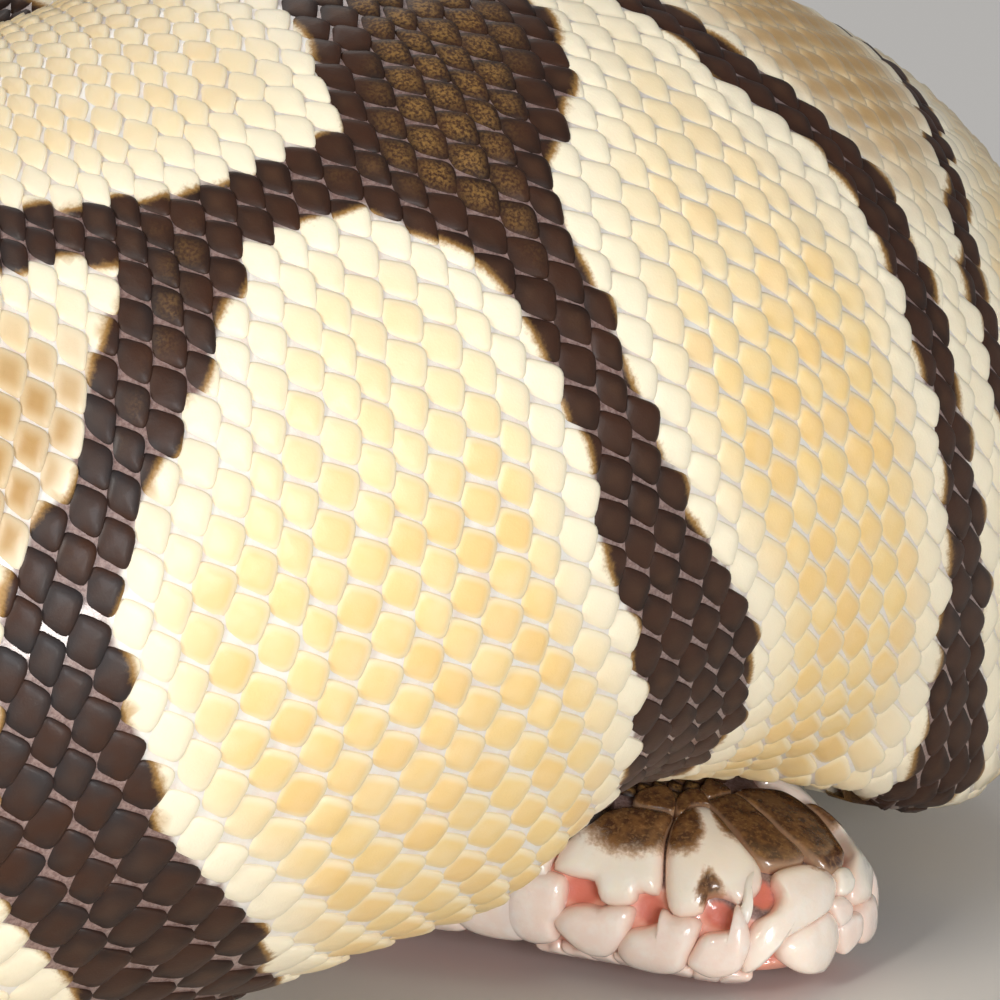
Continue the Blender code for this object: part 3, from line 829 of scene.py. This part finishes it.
def head_angles(points):
    """The two angles of any point seen from the head's middle."""
    direction, right, _ = head_axis()
    offset = points - head_point(*HEAD_MIDDLE)
    ahead = np.degrees(np.arctan2(offset @ right, -(offset @ direction)))
    rise = np.degrees(np.arctan2(offset[..., 2], np.hypot(offset @ right, offset @ direction)))
    return ahead, rise


def soft_spot(ahead, rise, middle, reach):
    """1 in the middle of an oval on the head and 0 outside it."""
    away = np.hypot((ahead - middle[0]) / reach[0], (rise - middle[1]) / reach[1])
    return 1.0 - smooth_step(away, 0.45, 1.15)


def pit_share(ahead, rise):
    """How deep a place lies in the heat pits between the lip plates of either side."""
    deepest = np.zeros(ahead.shape)
    for middle, reach in PITS:
        for side in (1.0, -1.0):
            deepest = np.maximum(deepest, soft_spot(side * ahead, rise, middle, reach))
    return deepest


def closed_curve(points, count):
    """A rounded closed outline through the points, at even steps."""
    points = np.array(points, float)
    ring = []
    total = len(points)
    for n in range(total):
        before, here, after, later = (points[(n + k) % total] for k in (-1, 0, 1, 2))
        for t in np.linspace(0.0, 1.0, 12, endpoint=False):
            square = (2 * before - 5 * here + 4 * after - later) * t**2
            cube = (3 * here - before - 3 * after + later) * t**3
            ring.append(0.5 * (2 * here + (after - before) * t + square + cube))
    ring = np.array(ring + [ring[0]])
    length = np.concatenate([[0.0], np.cumsum(np.linalg.norm(np.diff(ring, axis=0), axis=1))])
    places = np.linspace(0.0, length[-1], count, endpoint=False)
    return np.stack([np.interp(places, length, ring[:, k]) for k in range(2)], axis=1)


def plate(outline, height, squareness):
    """Points and ring shares of one plate: pillowed, with walls down into the grooves round it."""
    choice = bpy.context.scene.python_head
    sink = choice.plate_sink / MM
    edge = closed_curve(outline, PLATE_CORNERS)
    middle = edge.mean(axis=0)
    shares = [0.0] + [ring for ring in PLATE_RINGS for _ in range(PLATE_CORNERS)] + [1.0] * PLATE_CORNERS
    shares = np.array(shares)
    around = np.concatenate([edge[:1]] + [edge] * (len(PLATE_RINGS) + 1))
    spots = middle + (around - middle) * shares[:, None]
    lift = height * np.sqrt(np.maximum(1.0 - shares**squareness, 0.0)) - sink
    lift[-PLATE_CORNERS:] = -sink - choice.pit_depth / MM - 0.2
    point, normal = head_surface(spots[:, 0], spots[:, 1])
    shares[-PLATE_CORNERS:] = 1.2
    point = point + normal * lift[:, None]
    point[:, 2] = np.maximum(point[:, 2], FLOOR_GAP)
    return point, spots, shares


def lip_outline(back):
    """Outline of one of the plain lip plates behind the pits."""
    outline = []
    for along, height in ((-1.9, 6.0), (0.2, 6.6), (1.9, 6.0), (2.0, 3.4), (1.6, 1.6), (-0.6, 1.2),
                          (-2.2, 2.2)):
        point = head_point(back + along, head_half_width(back + along), height + 0.03 * back)
        outline.append(tuple(float(value) for value in head_angles(point)))
    return outline


def all_plates():
    """Every plate of the snout and lips, the paired ones on both sides."""
    rear = [("lip", 0.95, 5, lip_outline(back)) for back in (16.0, 19.7, 23.4, 27.1, 30.8, 34.5)]
    under = [("chin", 0.6, 8, [(a, -26), (a + 5, -25.5), (a + 9.6, -26), (a + 9.6, -36), (a, -37)])
             for a in (30, 40, 50, 60, 70, 80, 90, 100)]
    paired = LIP_PLATES + rear + under
    mirrored = [(kind, height, square, [(-ahead, rise) for ahead, rise in outline][::-1])
                for kind, height, square, outline in paired + SNOUT_PLATES[1:3]]
    return SNOUT_PLATES + paired + mirrored


PLATE_TINT = {
    "cream": (0.0, 0.0), "rostral": (0.0, 0.35), "lip": (0.0, 0.75), "brown": (1.0, 0.0), "chin": (0.0, 0.9),
}
BROWN_SPOTS = [((54, 31), (14, 18), 1.0), ((76, 31), (27, 20), 1.0), ((43.5, 3), (5, 7), 1.0),
               ((27, 34), (8, 16), 0.8), ((-4, 6), (7, 4), 0.6), ((-48, 13), (12, 8), 0.8)]


def make_head_plates():
    """The plates of the snout and lips, over the skin, with deep pits between them."""
    points = []
    marks = []
    lay = []
    patches = []
    shuffle = np.random.default_rng(5)
    plates = all_plates()
    for kind, height, square, outline in plates:
        point, spots, shares = plate(outline, height, square)
        brown, pink = PLATE_TINT[kind]
        brown = np.full(len(point), brown)
        for middle, reach, share in BROWN_SPOTS:
            if kind in ("cream", "rostral"):
                brown = np.maximum(brown, share * soft_spot(spots[:, 0], spots[:, 1], middle, reach))
        depth = smooth_step(shares, 0.9, 1.1)
        points.append(point)
        marks.append(np.stack([brown, np.full(len(point), pink), depth, np.ones(len(point))], axis=1))
        tone = np.full(len(point), shuffle.uniform())
        lay.append(np.stack([shares, tone, np.zeros(len(point)), np.ones(len(point))], axis=1))
        patches.append(0.5 + spots / 370.0)
    one = Scale.fans(PLATE_CORNERS, len(PLATE_RINGS) + 1)
    faces = many_faces(one, len(plates), len(points[0]))
    piece = make_piece("head_plates", np.concatenate(points), faces, np.concatenate(marks),
                       np.concatenate(lay), np.concatenate(patches))
    piece.data.materials.append(plate_finish())
    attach(piece, BODY)
    return piece


# ---- meshes ----
def make_piece(name, points, faces, marks, lay, patches=None):
    """A smooth piece from points in millimetres, with its colour attributes and its bake map."""
    mesh = bpy.data.meshes.new(name)
    points = (points.reshape(-1, 3) - PILE_MIDDLE) * MM
    faces = faces.reshape(-1, faces.shape[-1])
    corners = faces.shape[1]
    mesh.vertices.add(len(points))
    mesh.vertices.foreach_set("co", points.ravel())
    mesh.loops.add(faces.size)
    mesh.loops.foreach_set("vertex_index", faces.ravel())
    mesh.polygons.add(len(faces))
    mesh.polygons.foreach_set("loop_start", np.arange(0, faces.size, corners))
    mesh.update(calc_edges=True)
    mesh.validate()
    for title, values in (("marks", marks), ("lay", lay)):
        layer = mesh.attributes.new(title, "FLOAT_COLOR", "POINT")
        layer.data.foreach_set("color", values.reshape(-1, 4).ravel())
    if patches is not None:
        layer = mesh.uv_layers.new(name="OFBake")
        layer.data.foreach_set("uv", patches.reshape(-1, 2)[faces.ravel()].ravel())
    mesh.shade_smooth()
    thing = bpy.data.objects.new(name, mesh)
    bpy.context.scene.collection.objects.link(thing)
    return thing


def many_faces(faces, count, points_each):
    return (faces[None] + (np.arange(count) * points_each)[:, None, None]).reshape(-1, faces.shape[1])


def bake_patches(places, scale, low, high):
    """Each scale's patch in the bake map, at its root's place on the unrolled skin."""
    size = 0.5 * BAKE_PATCH
    u = 0.02 + 0.96 * (places[:, 0] - low) / (high - low)
    v = 0.02 + 0.96 * (places[:, 1] + 180.0) / 360.0
    return np.stack([u[:, None] + size * scale.x[None], v[:, None] + size * scale.y[None]], axis=-1)


# ---- shader maths ----
class Socket:
    """A value in a material. Arithmetic on it adds the nodes that work it out."""

    def __init__(self, tree, link):
        self.tree = tree
        self.link = link

    def maths(self, operation, *others):
        return add_node(self.tree, "ShaderNodeMath", {"operation": operation}, [self, *others])[0]

    def __add__(self, other):
        return self.maths("ADD", other)

    def __mul__(self, other):
        return self.maths("MULTIPLY", other)

    def __sub__(self, other):
        return self.maths("SUBTRACT", other)

    def __rsub__(self, other):
        return add_node(self.tree, "ShaderNodeMath", {"operation": "SUBTRACT"}, [other, self])[0]

    __radd__ = __add__
    __rmul__ = __mul__

    def between(self, low, high, to_low=0.0, to_high=1.0):
        """The value moved smoothly from one range to another, held at its ends."""
        return add_node(self.tree, "ShaderNodeMapRange", {"interpolation_type": "SMOOTHSTEP"},
                        [self, low, high, to_low, to_high])[0]


def add_node(tree, kind, settings=None, inputs=None):
    """Adds a node, sets its settings first and then its inputs, and returns its outputs as values."""
    node = tree.nodes.new(kind)
    for key, value in (settings or {}).items():
        setattr(node, key, value)
    if isinstance(inputs, dict):
        pairs = [(node.inputs[key], value) for key, value in inputs.items()]
    else:
        pairs = list(zip(node.inputs, inputs or []))
    for socket, value in pairs:
        if isinstance(value, Socket):
            tree.links.new(value.link, socket)
        else:
            socket.default_value = value
    return [Socket(tree, output) for output in node.outputs]


def mix_colour(tree, share, first, second):
    """The first colour at a share of 0 and the second at 1."""
    node = tree.nodes.new("ShaderNodeMix")
    node.data_type = "RGBA"
    for socket, value in ((node.inputs[0], share), (node.inputs[6], first), (node.inputs[7], second)):
        if isinstance(value, Socket):
            tree.links.new(value.link, socket)
        else:
            socket.default_value = (*value, 1.0)
    return Socket(tree, node.outputs[2])


class Finish:
    """A new material with its shader, the piece's own colour attributes and noise on its coordinates."""

    def __init__(self, name):
        self.material = bpy.data.materials.new(name)
        self.material.use_nodes = True
        self.tree = self.material.node_tree
        self.shader = self.tree.nodes["Principled BSDF"]
        self.place = add_node(self.tree, "ShaderNodeTexCoord")[3]

    def attribute(self, name):
        colour = add_node(self.tree, "ShaderNodeAttribute", {"attribute_name": name})
        parts = add_node(self.tree, "ShaderNodeSeparateColor", {}, [colour[0]])
        return parts[0], parts[1], parts[2], colour[3]

    def noise(self, size, detail=3.0, roughness=0.55):
        """Cloudy noise whose lumps are about size millimetres."""
        return add_node(self.tree, "ShaderNodeTexNoise", {}, {
            "Vector": self.place, "Scale": 1.0 / (size * MM), "Detail": detail, "Roughness": roughness})[0]

    def bump(self, height, strength, depth):
        """Relief whose depth is in millimetres."""
        return add_node(self.tree, "ShaderNodeBump", {}, {
            "Strength": strength, "Distance": depth * MM, "Height": height})[0]

    def set(self, **sockets):
        for name, value in sockets.items():
            socket = self.shader.inputs[name.replace("_", " ")]
            if isinstance(value, Socket):
                self.tree.links.new(value.link, socket)
            elif socket.type == "RGBA":
                socket.default_value = (*value, 1.0)
            else:
                socket.default_value = value


def skin_colour(finish):
    """Colour of the scales and belly plates from the markings, with the values that shape their gloss."""
    tree = finish.tree
    coat = bpy.context.scene.python_coat
    dark, yellow, gold, tan = finish.attribute("marks")
    rim, tone, _, _ = finish.attribute("lay")
    speckle = finish.noise(0.17, 2.0)
    cloud = finish.noise(2.2, 2.0)
    light = mix_colour(tree, yellow * (0.55 + 0.75 * cloud), coat.cream, coat.yellow)
    light = mix_colour(tree, (tone.between(0.2, 1.0) * yellow) * 0.4, light, coat.orange)
    light = mix_colour(tree, rim.between(0.6, 1.0) * 0.65, light, coat.cream)
    light = mix_colour(tree, tan * rim.between(1.1, 0.2, 0.45, 1.0), light, coat.tan)
    deep = mix_colour(tree, cloud.between(0.3, 0.7), coat.umber, coat.chocolate)
    deep = mix_colour(tree, rim.between(0.85, 0.1) * cloud.between(0.3, 0.7) * 0.4, deep, rgb(98, 66, 44))
    gilt = gold * rim.between(1.05, 0.2) * speckle.between(0.34, 0.68) * 0.75
    deep = mix_colour(tree, gilt, deep, coat.golden)
    # painted bluish sheen: where the tan share lies on a dark band, the dark colour is drawn towards blue
    # grey as a painted reflection
    deep = mix_colour(tree, tan * cloud.between(0.25, 0.75) * 0.45, deep, rgb(50, 54, 58))
    edge = dark + (speckle - 0.5) * 0.35
    burnt = edge.between(0.05, 0.5)
    middle = mix_colour(tree, burnt, light, coat.golden)
    return mix_colour(tree, edge.between(0.35, 0.85), middle, deep), dark, speckle, cloud


def scale_finish():
    finish = Finish("satin_scale")
    colour, dark, speckle, cloud = skin_colour(finish)
    rough = 0.33 + 0.10 * cloud + 0.14 * dark
    relief = finish.noise(0.12, 3.0) * 0.4 + speckle * 0.6
    finish.set(Base_Color=colour, Roughness=rough, Normal=finish.bump(relief, 0.35, 0.05),
               Subsurface_Weight=0.12, Subsurface_Radius=(1.0, 0.55, 0.35), Subsurface_Scale=0.0012,
               Coat_Weight=0.06, Coat_Roughness=0.22, Specular_IOR_Level=0.28)
    return finish.material


def plate_finish():
    """Waxy cream, pink and brown plates, redder down in the grooves."""
    choice = bpy.context.scene.python_head
    finish = Finish("waxy_head_plate")
    tree = finish.tree
    brown, pink, depth, _ = finish.attribute("marks")
    speckle = finish.noise(0.22, 3.0)
    cloud = finish.noise(1.1, 3.0)
    patch = finish.noise(0.7, 4.0)
    light = mix_colour(tree, pink, choice.plate_cream, choice.plate_pink)
    rim, _, _, _ = finish.attribute("lay")
    light = mix_colour(tree, cloud.between(0.35, 0.75) * 0.5, light, rgb(255, 246, 236))
    light = mix_colour(tree, rim.between(0.7, 1.0) * (0.3 + 0.5 * cloud), light, rgb(244, 204, 184))
    deep = mix_colour(tree, patch.between(0.35, 0.68), rgb(74, 46, 30), choice.plate_brown)
    deep = mix_colour(tree, speckle.between(0.5, 0.7) * 0.5, deep, rgb(164, 122, 74))
    edge = brown + (speckle - 0.5) * 0.55 + (patch - 0.5) * 0.9
    stain = edge.between(0.0, 0.45) * brown.between(0.0, 0.3) * 0.55
    light = mix_colour(tree, stain, light, rgb(196, 146, 92))
    share = edge.between(0.15, 0.8) * brown.between(0.0, 0.2)
    deep = mix_colour(tree, rim.between(0.9, 0.99) * 0.7, deep, rgb(196, 160, 128))
    colour = mix_colour(tree, share, light, deep)
    colour = mix_colour(tree, depth.between(0.3, 1.0), colour, choice.groove)
    relief = speckle * 0.5 + cloud * 0.5
    finish.set(Base_Color=colour, Roughness=0.17 + 0.14 * cloud, Normal=finish.bump(relief, 0.5, 0.09),
               Subsurface_Weight=0.2, Subsurface_Radius=(1.0, 0.5, 0.35), Subsurface_Scale=0.0014,
               Coat_Weight=0.8, Coat_Roughness=0.06)
    return finish.material


def eye_finish():
    """A dark wet eye with a bronze iris and an upright slit of a pupil."""
    choice = bpy.context.scene.python_head
    finish = Finish("wet_eye")
    tree = finish.tree
    pupil, iris, _, _ = finish.attribute("marks")
    streak = finish.noise(0.12, 3.0, 0.6)
    bronze = mix_colour(tree, streak.between(0.3, 0.7), rgb(70, 44, 24), choice.iris)
    colour = mix_colour(tree, iris, rgb(24, 16, 12), bronze)
    colour = mix_colour(tree, pupil, colour, rgb(4, 3, 3))
    finish.set(Base_Color=colour, Roughness=0.06 + 0.04 * streak, Coat_Weight=0.6, Coat_Roughness=0.03,
               Specular_IOR_Level=0.6)
    return finish.material


def skin_finish():
    """Soft creased skin, darker under the bands, pink on the face and red in the heat pits."""
    coat = bpy.context.scene.python_coat
    choice = bpy.context.scene.python_head
    finish = Finish("soft_skin_between")
    tree = finish.tree
    dark, _, _, _ = finish.attribute("marks")
    pit, face, _, _ = finish.attribute("lay")
    cloud = finish.noise(1.6, 3.0)
    fold = finish.noise(0.22, 4.0, 0.65)
    light = mix_colour(tree, cloud.between(0.35, 0.8), coat.between_light, rgb(246, 222, 204))
    deep = mix_colour(tree, fold.between(0.35, 0.65), coat.between_dark, rgb(160, 132, 124))
    colour = mix_colour(tree, dark.between(0.2, 0.8), light, deep)
    colour = mix_colour(tree, face * (1.0 - dark), colour, choice.groove)
    colour = mix_colour(tree, pit.between(0.15, 0.8), colour, choice.pit)
    finish.set(Base_Color=colour, Roughness=0.30 + 0.2 * fold, Normal=finish.bump(fold, 0.4, 0.08),
               Subsurface_Weight=0.3, Subsurface_Radius=(1.0, 0.6, 0.45), Subsurface_Scale=0.0015,
               Coat_Weight=0.7, Coat_Roughness=0.08)
    return finish.material


# ---- pieces ----
def make_skin():
    """One closed skin from the snout to the tail tip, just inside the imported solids."""
    face_rings = np.concatenate([[0.05, 0.3, 0.6, 1.0], np.arange(1.4, 26.0, 0.4)])
    stations = np.concatenate([face_rings, np.arange(26.0, 503.0, 1.8), np.arange(503.0, 573.0, 0.6),
                               np.arange(573.0, BODY_SHAPE.total - 0.5, 1.8), [BODY_SHAPE.total]])
    turns = BODY_SHAPE.angles
    along = np.repeat(stations[:, None], len(turns), axis=1)
    turn = np.repeat(turns[None], len(stations), axis=0)
    face = 1.0 - smooth_step(along, 24.0, 34.0)
    surface = BODY_SHAPE.place(along, turn, np.full(along.shape, COAT_DEPTH))
    pit = pit_share(*head_angles(surface)) * (1.0 - smooth_step(along, 20.0, 24.0))
    choice = bpy.context.scene.python_head
    groove = choice.plate_sink / MM + 0.1
    sunk = COAT_DEPTH - groove * face - COAT_DEPTH * (1.0 - face) - choice.pit_depth / MM * pit
    points = BODY_SHAPE.place(along, turn, sunk)
    dark, yellow, gold, tan = markings(along, turn)
    marks = np.stack([dark, yellow, gold, tan], axis=-1).reshape(-1, 4)
    lay = np.stack([pit, face, pit, np.ones_like(pit)], axis=-1).reshape(-1, 4)
    ends = np.array([points[0].mean(axis=0), points[-1].mean(axis=0)])
    points = np.concatenate([points.reshape(-1, 3), ends])
    marks = np.concatenate([marks, marks[:1], marks[-1:]])
    lay = np.concatenate([lay, lay[:2]])
    count = len(turns)
    rows = len(stations)
    n = np.arange(count)
    m = (n + 1) % count
    faces = []
    for k in range(rows - 1):
        low = k * count
        high = low + count
        faces.append(np.stack([low + n, high + n, high + m], axis=1))
        faces.append(np.stack([low + n, high + m, low + m], axis=1))
    faces.append(np.stack([np.full(count, rows * count), n, m], axis=1))
    last = (rows - 1) * count
    faces.append(np.stack([np.full(count, rows * count + 1), last + m, last + n], axis=1))
    piece = make_piece("python_skin", points, np.concatenate(faces), marks, lay)
    piece.data.materials.append(skin_finish())
    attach(piece, BODY)
    nodes = ["head", "lower_jaw", "neck", "tail"] + [f"trunk_{n}" for n in range(1, 10)]
    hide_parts(*nodes)
    return piece


def on_plates(places):
    """Places that the head's plates or an eye cover, where no small scale grows."""
    turn = back_turn(places[:, 0]) - np.radians(places[:, 1])
    surface = BODY_SHAPE.place(places[:, 0], turn, np.full(len(places), COAT_DEPTH))
    ahead, rise = head_angles(surface)
    lips = (places[:, 0] < 37.5) & (surface[:, 2] < 6.0 + 0.03 * places[:, 0])
    snout = (np.abs(ahead) < 112.0) & (rise < np.interp(np.abs(ahead), [0, 29, 60, 88, 97, 112],
                                                      [66, 64, 52, 46, 28, 22]))
    eyes = np.zeros(len(places), bool)
    for side in (1.0, -1.0):
        middle = head_point(EYE_FROM_SNOUT, side * EYE_ACROSS, EYE_HEIGHT)
        eyes |= np.linalg.norm(surface - middle, axis=1) < EYE_RADIUS + 0.35
    return lips | snout | eyes


def is_hidden(places):
    """Scales that face another length of the body at close quarters, where nothing can be seen."""
    turn = back_turn(places[:, 0]) - np.radians(places[:, 1])
    return BODY_SHAPE.read(BODY_SHAPE.pressed, places[:, 0], turn) > PRESSED_OUT_OF_SIGHT


SCALE_SPANS = [
    (5.0, 52.0), (52.0, 120.0), (120.0, 200.0), (200.0, 280.0), (280.0, 350.0), (350.0, 420.0),
    (420.0, 503.0), (503.0, 527.0), (527.0, 549.0), (549.0, 573.0), (573.0, 650.0), (650.0, 740.0),
    (740.0, 832.0),
]
BELLY_SPANS = [(50.0, 300.0), (300.0, 560.0), (560.0, 832.0)]


def with_tail(spans):
    """Each length of the coat with how many times coarser it is; it is coarser on the thin tail."""
    return [(low, high, 1.0) for low, high in spans] + [
        (832.0, 880.0, 2.0), (880.0, BODY_SHAPE.total - 2.0, 4.0)]


def make_coat_piece(name, places, scale, span, shuffle, material):
    """One joined piece of the coat, with a scale or a belly plate at every place."""
    points, marks, lay = lay_scales(places, scale, shuffle)
    faces = many_faces(scale.faces, len(places), points.shape[1])
    piece = make_piece(name, points, faces, marks, lay, bake_patches(places, scale, *span))
    piece.data.materials.append(material)
    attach(piece, BODY)


def make_scales():
    """The coat, length by length; the scales of the coil in front are finer."""
    material = scale_finish()
    shuffle = np.random.default_rng(11)
    for number, (low, high, share) in enumerate(with_tail(SCALE_SPANS), 1):
        places = scale_places(low, high, share)
        places = places[~is_hidden(places)]
        if low < HEAD_LENGTH:
            places = places[~on_plates(places)]
        turn = np.degrees(back_turn(places[:, 0])) - places[:, 1]
        turn = np.mod(turn + 180.0, 360.0) - 180.0
        fine = (503.0 <= low < 573.0) & (turn > -72.0) & (turn < 100.0)
        for ending, chosen, scale in (("", places[~fine], PLAIN_SCALE), ("_fine", places[fine], FINE_SCALE)):
            if len(chosen):
                make_coat_piece(f"scales_{number}{ending}", chosen, scale, (low, high), shuffle, material)


def make_belly():
    """The broad plates of the belly and of the underside of the tail, each lapping over the next."""
    material = scale_finish()
    shuffle = np.random.default_rng(23)
    for number, (low, high, share) in enumerate(with_tail(BELLY_SPANS), 1):
        dense = np.arange(low, high, 0.2)
        rings = ring_number(dense, back_turn(dense) + math.pi)
        wanted = np.arange(math.ceil(rings[0]), rings[-1], 2.0 * share)
        along = np.interp(wanted, rings, dense)
        places = np.stack([along, np.full(len(along), 180.0), np.full(len(along), 180.0 - BELLY_EDGE + 1.0),
                           np.full(len(along), share)], axis=1)
        make_coat_piece(f"belly_plates_{number}", places, BELLY_PLATE, (low, high), shuffle, material)


def make_stage():
    """A plain pale floor, soft studio light and the camera."""
    choice = bpy.context.scene.python_stage
    bpy.ops.object.select_all(action="DESELECT")
    bpy.ops.mesh.primitive_plane_add(size=6.0, location=(0.0, 0.0, 0.0))
    floor = bpy.context.object
    floor.name = "studio_floor"
    finish = Finish("pale_floor")
    finish.set(Base_Color=choice.floor_colour, Roughness=0.75)
    floor.data.materials.append(finish.material)
    bpy.context.scene.view_settings.view_transform = "Standard"
    world = bpy.data.worlds.new("studio")
    bpy.context.scene.world = world
    world.use_nodes = True
    world.node_tree.nodes["Background"].inputs[0].default_value = (0.94, 0.95, 1.0, 1.0)
    world.node_tree.nodes["Background"].inputs[1].default_value = choice.surroundings
    target = Vector(CAMERA_TARGET) * MM
    for name, place, size, power, tint in (
            ("key_light", (-0.30, -0.60, 0.38), 0.16, choice.key_power, (1.0, 0.96, 0.9)),
            ("fill_light", (0.28, -0.80, 0.22), 0.2, choice.fill_power, (0.92, 0.95, 1.0)),
            ("rim_light", (-0.1, 0.6, 0.7), 0.5, choice.rim_power, (1.0, 0.98, 0.95)),
            ("head_light", (0.20, -0.34, 0.035), 0.05, choice.head_power, (1.0, 0.98, 0.94))):
        bpy.ops.object.light_add(type="AREA", location=Vector(place))
        light = bpy.context.object
        light.name = name
        light.data.size = size
        light.data.energy = power
        light.data.color = tint
        light.rotation_euler = (target - light.location).to_track_quat("-Z", "Y").to_euler()
    distance = choice.camera_distance
    rise = choice.camera_rise
    view = Vector((0.0, math.cos(rise), -math.sin(rise)))
    bpy.ops.object.camera_add(location=target - view * distance)
    camera = bpy.context.object
    camera.rotation_euler = view.to_track_quat("-Z", "Y").to_euler()
    camera.data.sensor_width = SENSOR_WIDTH
    camera.data.lens = SENSOR_WIDTH * distance * FRAMES_PER_METRE
    camera.data.clip_start = 0.01
    bpy.context.scene.camera = camera


def make_eyes():
    """Both eyes: a ball with a raised clear front, a bronze iris and an upright slit pupil."""
    material = eye_finish()
    radius = bpy.context.scene.python_head.eye_radius / MM
    direction, right, up = head_axis()
    for side, name in ((1.0, "eye_right"), (-1.0, "eye_left")):
        middle = head_point(EYE_FROM_SNOUT, side * EYE_ACROSS, EYE_HEIGHT)
        bpy.ops.object.select_all(action="DESELECT")
        bpy.ops.mesh.primitive_uv_sphere_add(segments=64, ring_count=40, radius=radius)
        ball = bpy.context.object
        ball.name = name + "_ball"
        outward = unit(side * right * 0.93 - direction * 0.22 + up * 0.30)
        upward = unit(up - (up @ outward) * outward)
        forward = np.cross(outward, upward)
        count = len(ball.data.vertices)
        co = np.empty(count * 3)
        ball.data.vertices.foreach_get("co", co)
        co = co.reshape(-1, 3)
        facing = co[:, 2] / EYE_RADIUS
        bulge = 0.10 * smooth_step(facing, 0.72, 0.95)
        co = co * (0.965 + bulge * 0.3)[:, None]
        wide = co[:, 0] / EYE_RADIUS
        tall = co[:, 1] / EYE_RADIUS
        front = facing > 0.0
        iris = (1.0 - smooth_step(np.hypot(wide, tall), 0.60, 0.70)) * front
        pupil = (1.0 - smooth_step(np.hypot(wide / 0.13, tall / 0.52), 0.85, 1.15)) * front
        rim = smooth_step(np.hypot(wide, tall), 0.50, 0.66) * iris
        placed = middle + co[:, :1] * forward + co[:, 1:2] * upward + co[:, 2:] * outward
        placed = (placed - PILE_MIDDLE) * MM
        ball.data.vertices.foreach_set("co", placed.ravel())
        layer = ball.data.attributes.new("marks", "FLOAT_COLOR", "POINT")
        values = np.stack([pupil, iris - 0.6 * rim, rim, np.ones(count)], axis=1)
        layer.data.foreach_set("color", values.ravel())
        ball.data.shade_smooth()
        ball.data.update()
        ball.data.materials.append(material)
        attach(ball, BODY)
        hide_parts(name)


# ---- operators, panel and registration ----
class PYTHON_OT_skin(bpy.types.Operator):
    """Add the closed skin of the whole body"""

    bl_idname = "python_model.skin"
    bl_label = "Skin"
    bl_options = {"REGISTER", "UNDO"}

    def execute(self, context):
        make_skin()
        return {"FINISHED"}


class PYTHON_OT_head_plates(bpy.types.Operator):
    """Add the plates of the snout, the lips and the crown"""

    bl_idname = "python_model.head_plates"
    bl_label = "Head plates"
    bl_options = {"REGISTER", "UNDO"}

    def execute(self, context):
        make_head_plates()
        return {"FINISHED"}


class PYTHON_OT_eyes(bpy.types.Operator):
    """Add both eyes"""

    bl_idname = "python_model.eyes"
    bl_label = "Eyes"
    bl_options = {"REGISTER", "UNDO"}

    def execute(self, context):
        make_eyes()
        return {"FINISHED"}


class PYTHON_OT_belly_plates(bpy.types.Operator):
    """Add the broad plates of the belly and the underside of the tail"""

    bl_idname = "python_model.belly_plates"
    bl_label = "Belly plates"
    bl_options = {"REGISTER", "UNDO"}

    def execute(self, context):
        make_belly()
        return {"FINISHED"}


class PYTHON_OT_scales(bpy.types.Operator):
    """Add the small scales of the back and sides, length by length"""

    bl_idname = "python_model.scales"
    bl_label = "Scales"
    bl_options = {"REGISTER", "UNDO"}

    def execute(self, context):
        make_scales()
        return {"FINISHED"}


class PYTHON_OT_stage(bpy.types.Operator):
    """Add the floor, the lights and the camera"""

    bl_idname = "python_model.stage"
    bl_label = "Studio"
    bl_options = {"REGISTER", "UNDO"}

    def execute(self, context):
        make_stage()
        return {"FINISHED"}


class PYTHON_PT_model(bpy.types.Panel):
    """The pieces of the model and what may be changed about them"""

    bl_idname = "PYTHON_PT_model"
    bl_label = "Coiled ball python"
    bl_space_type = "VIEW_3D"
    bl_region_type = "UI"
    bl_category = "Python"

    def draw(self, context):
        layout = self.layout
        for operator in OPERATORS:
            layout.operator(operator.bl_idname)
        for title, settings in (("Coat", context.scene.python_coat), ("Head", context.scene.python_head),
                                ("Studio", context.scene.python_stage)):
            box = layout.box()
            box.label(text=title)
            for name in settings.__annotations__:
                box.prop(settings, name)


OPERATORS = (PYTHON_OT_skin, PYTHON_OT_head_plates, PYTHON_OT_eyes, PYTHON_OT_belly_plates, PYTHON_OT_scales,
             PYTHON_OT_stage)
SETTINGS = (PythonCoatSettings, PythonHeadSettings, PythonStageSettings)


def register():
    for item in (*SETTINGS, *OPERATORS, PYTHON_PT_model):
        bpy.utils.register_class(item)
    bpy.types.Scene.python_coat = bpy.props.PointerProperty(
        type=PythonCoatSettings, name="Coat", description="Sizes and colours of the skin and its scales")
    bpy.types.Scene.python_head = bpy.props.PointerProperty(
        type=PythonHeadSettings, name="Head", description="Sizes and colours of the head")
    bpy.types.Scene.python_stage = bpy.props.PointerProperty(
        type=PythonStageSettings, name="Studio", description="The floor, the lights and the camera")


def unregister():
    del bpy.types.Scene.python_stage
    del bpy.types.Scene.python_head
    del bpy.types.Scene.python_coat
    for item in reversed((*SETTINGS, *OPERATORS, PYTHON_PT_model)):
        bpy.utils.unregister_class(item)


def main():
    register()
    bpy.ops.python_model.skin()
    bpy.ops.python_model.head_plates()
    bpy.ops.python_model.eyes()
    bpy.ops.python_model.belly_plates()
    bpy.ops.python_model.scales()
    bpy.ops.python_model.stage()


if __name__ == "__main__":
    main()
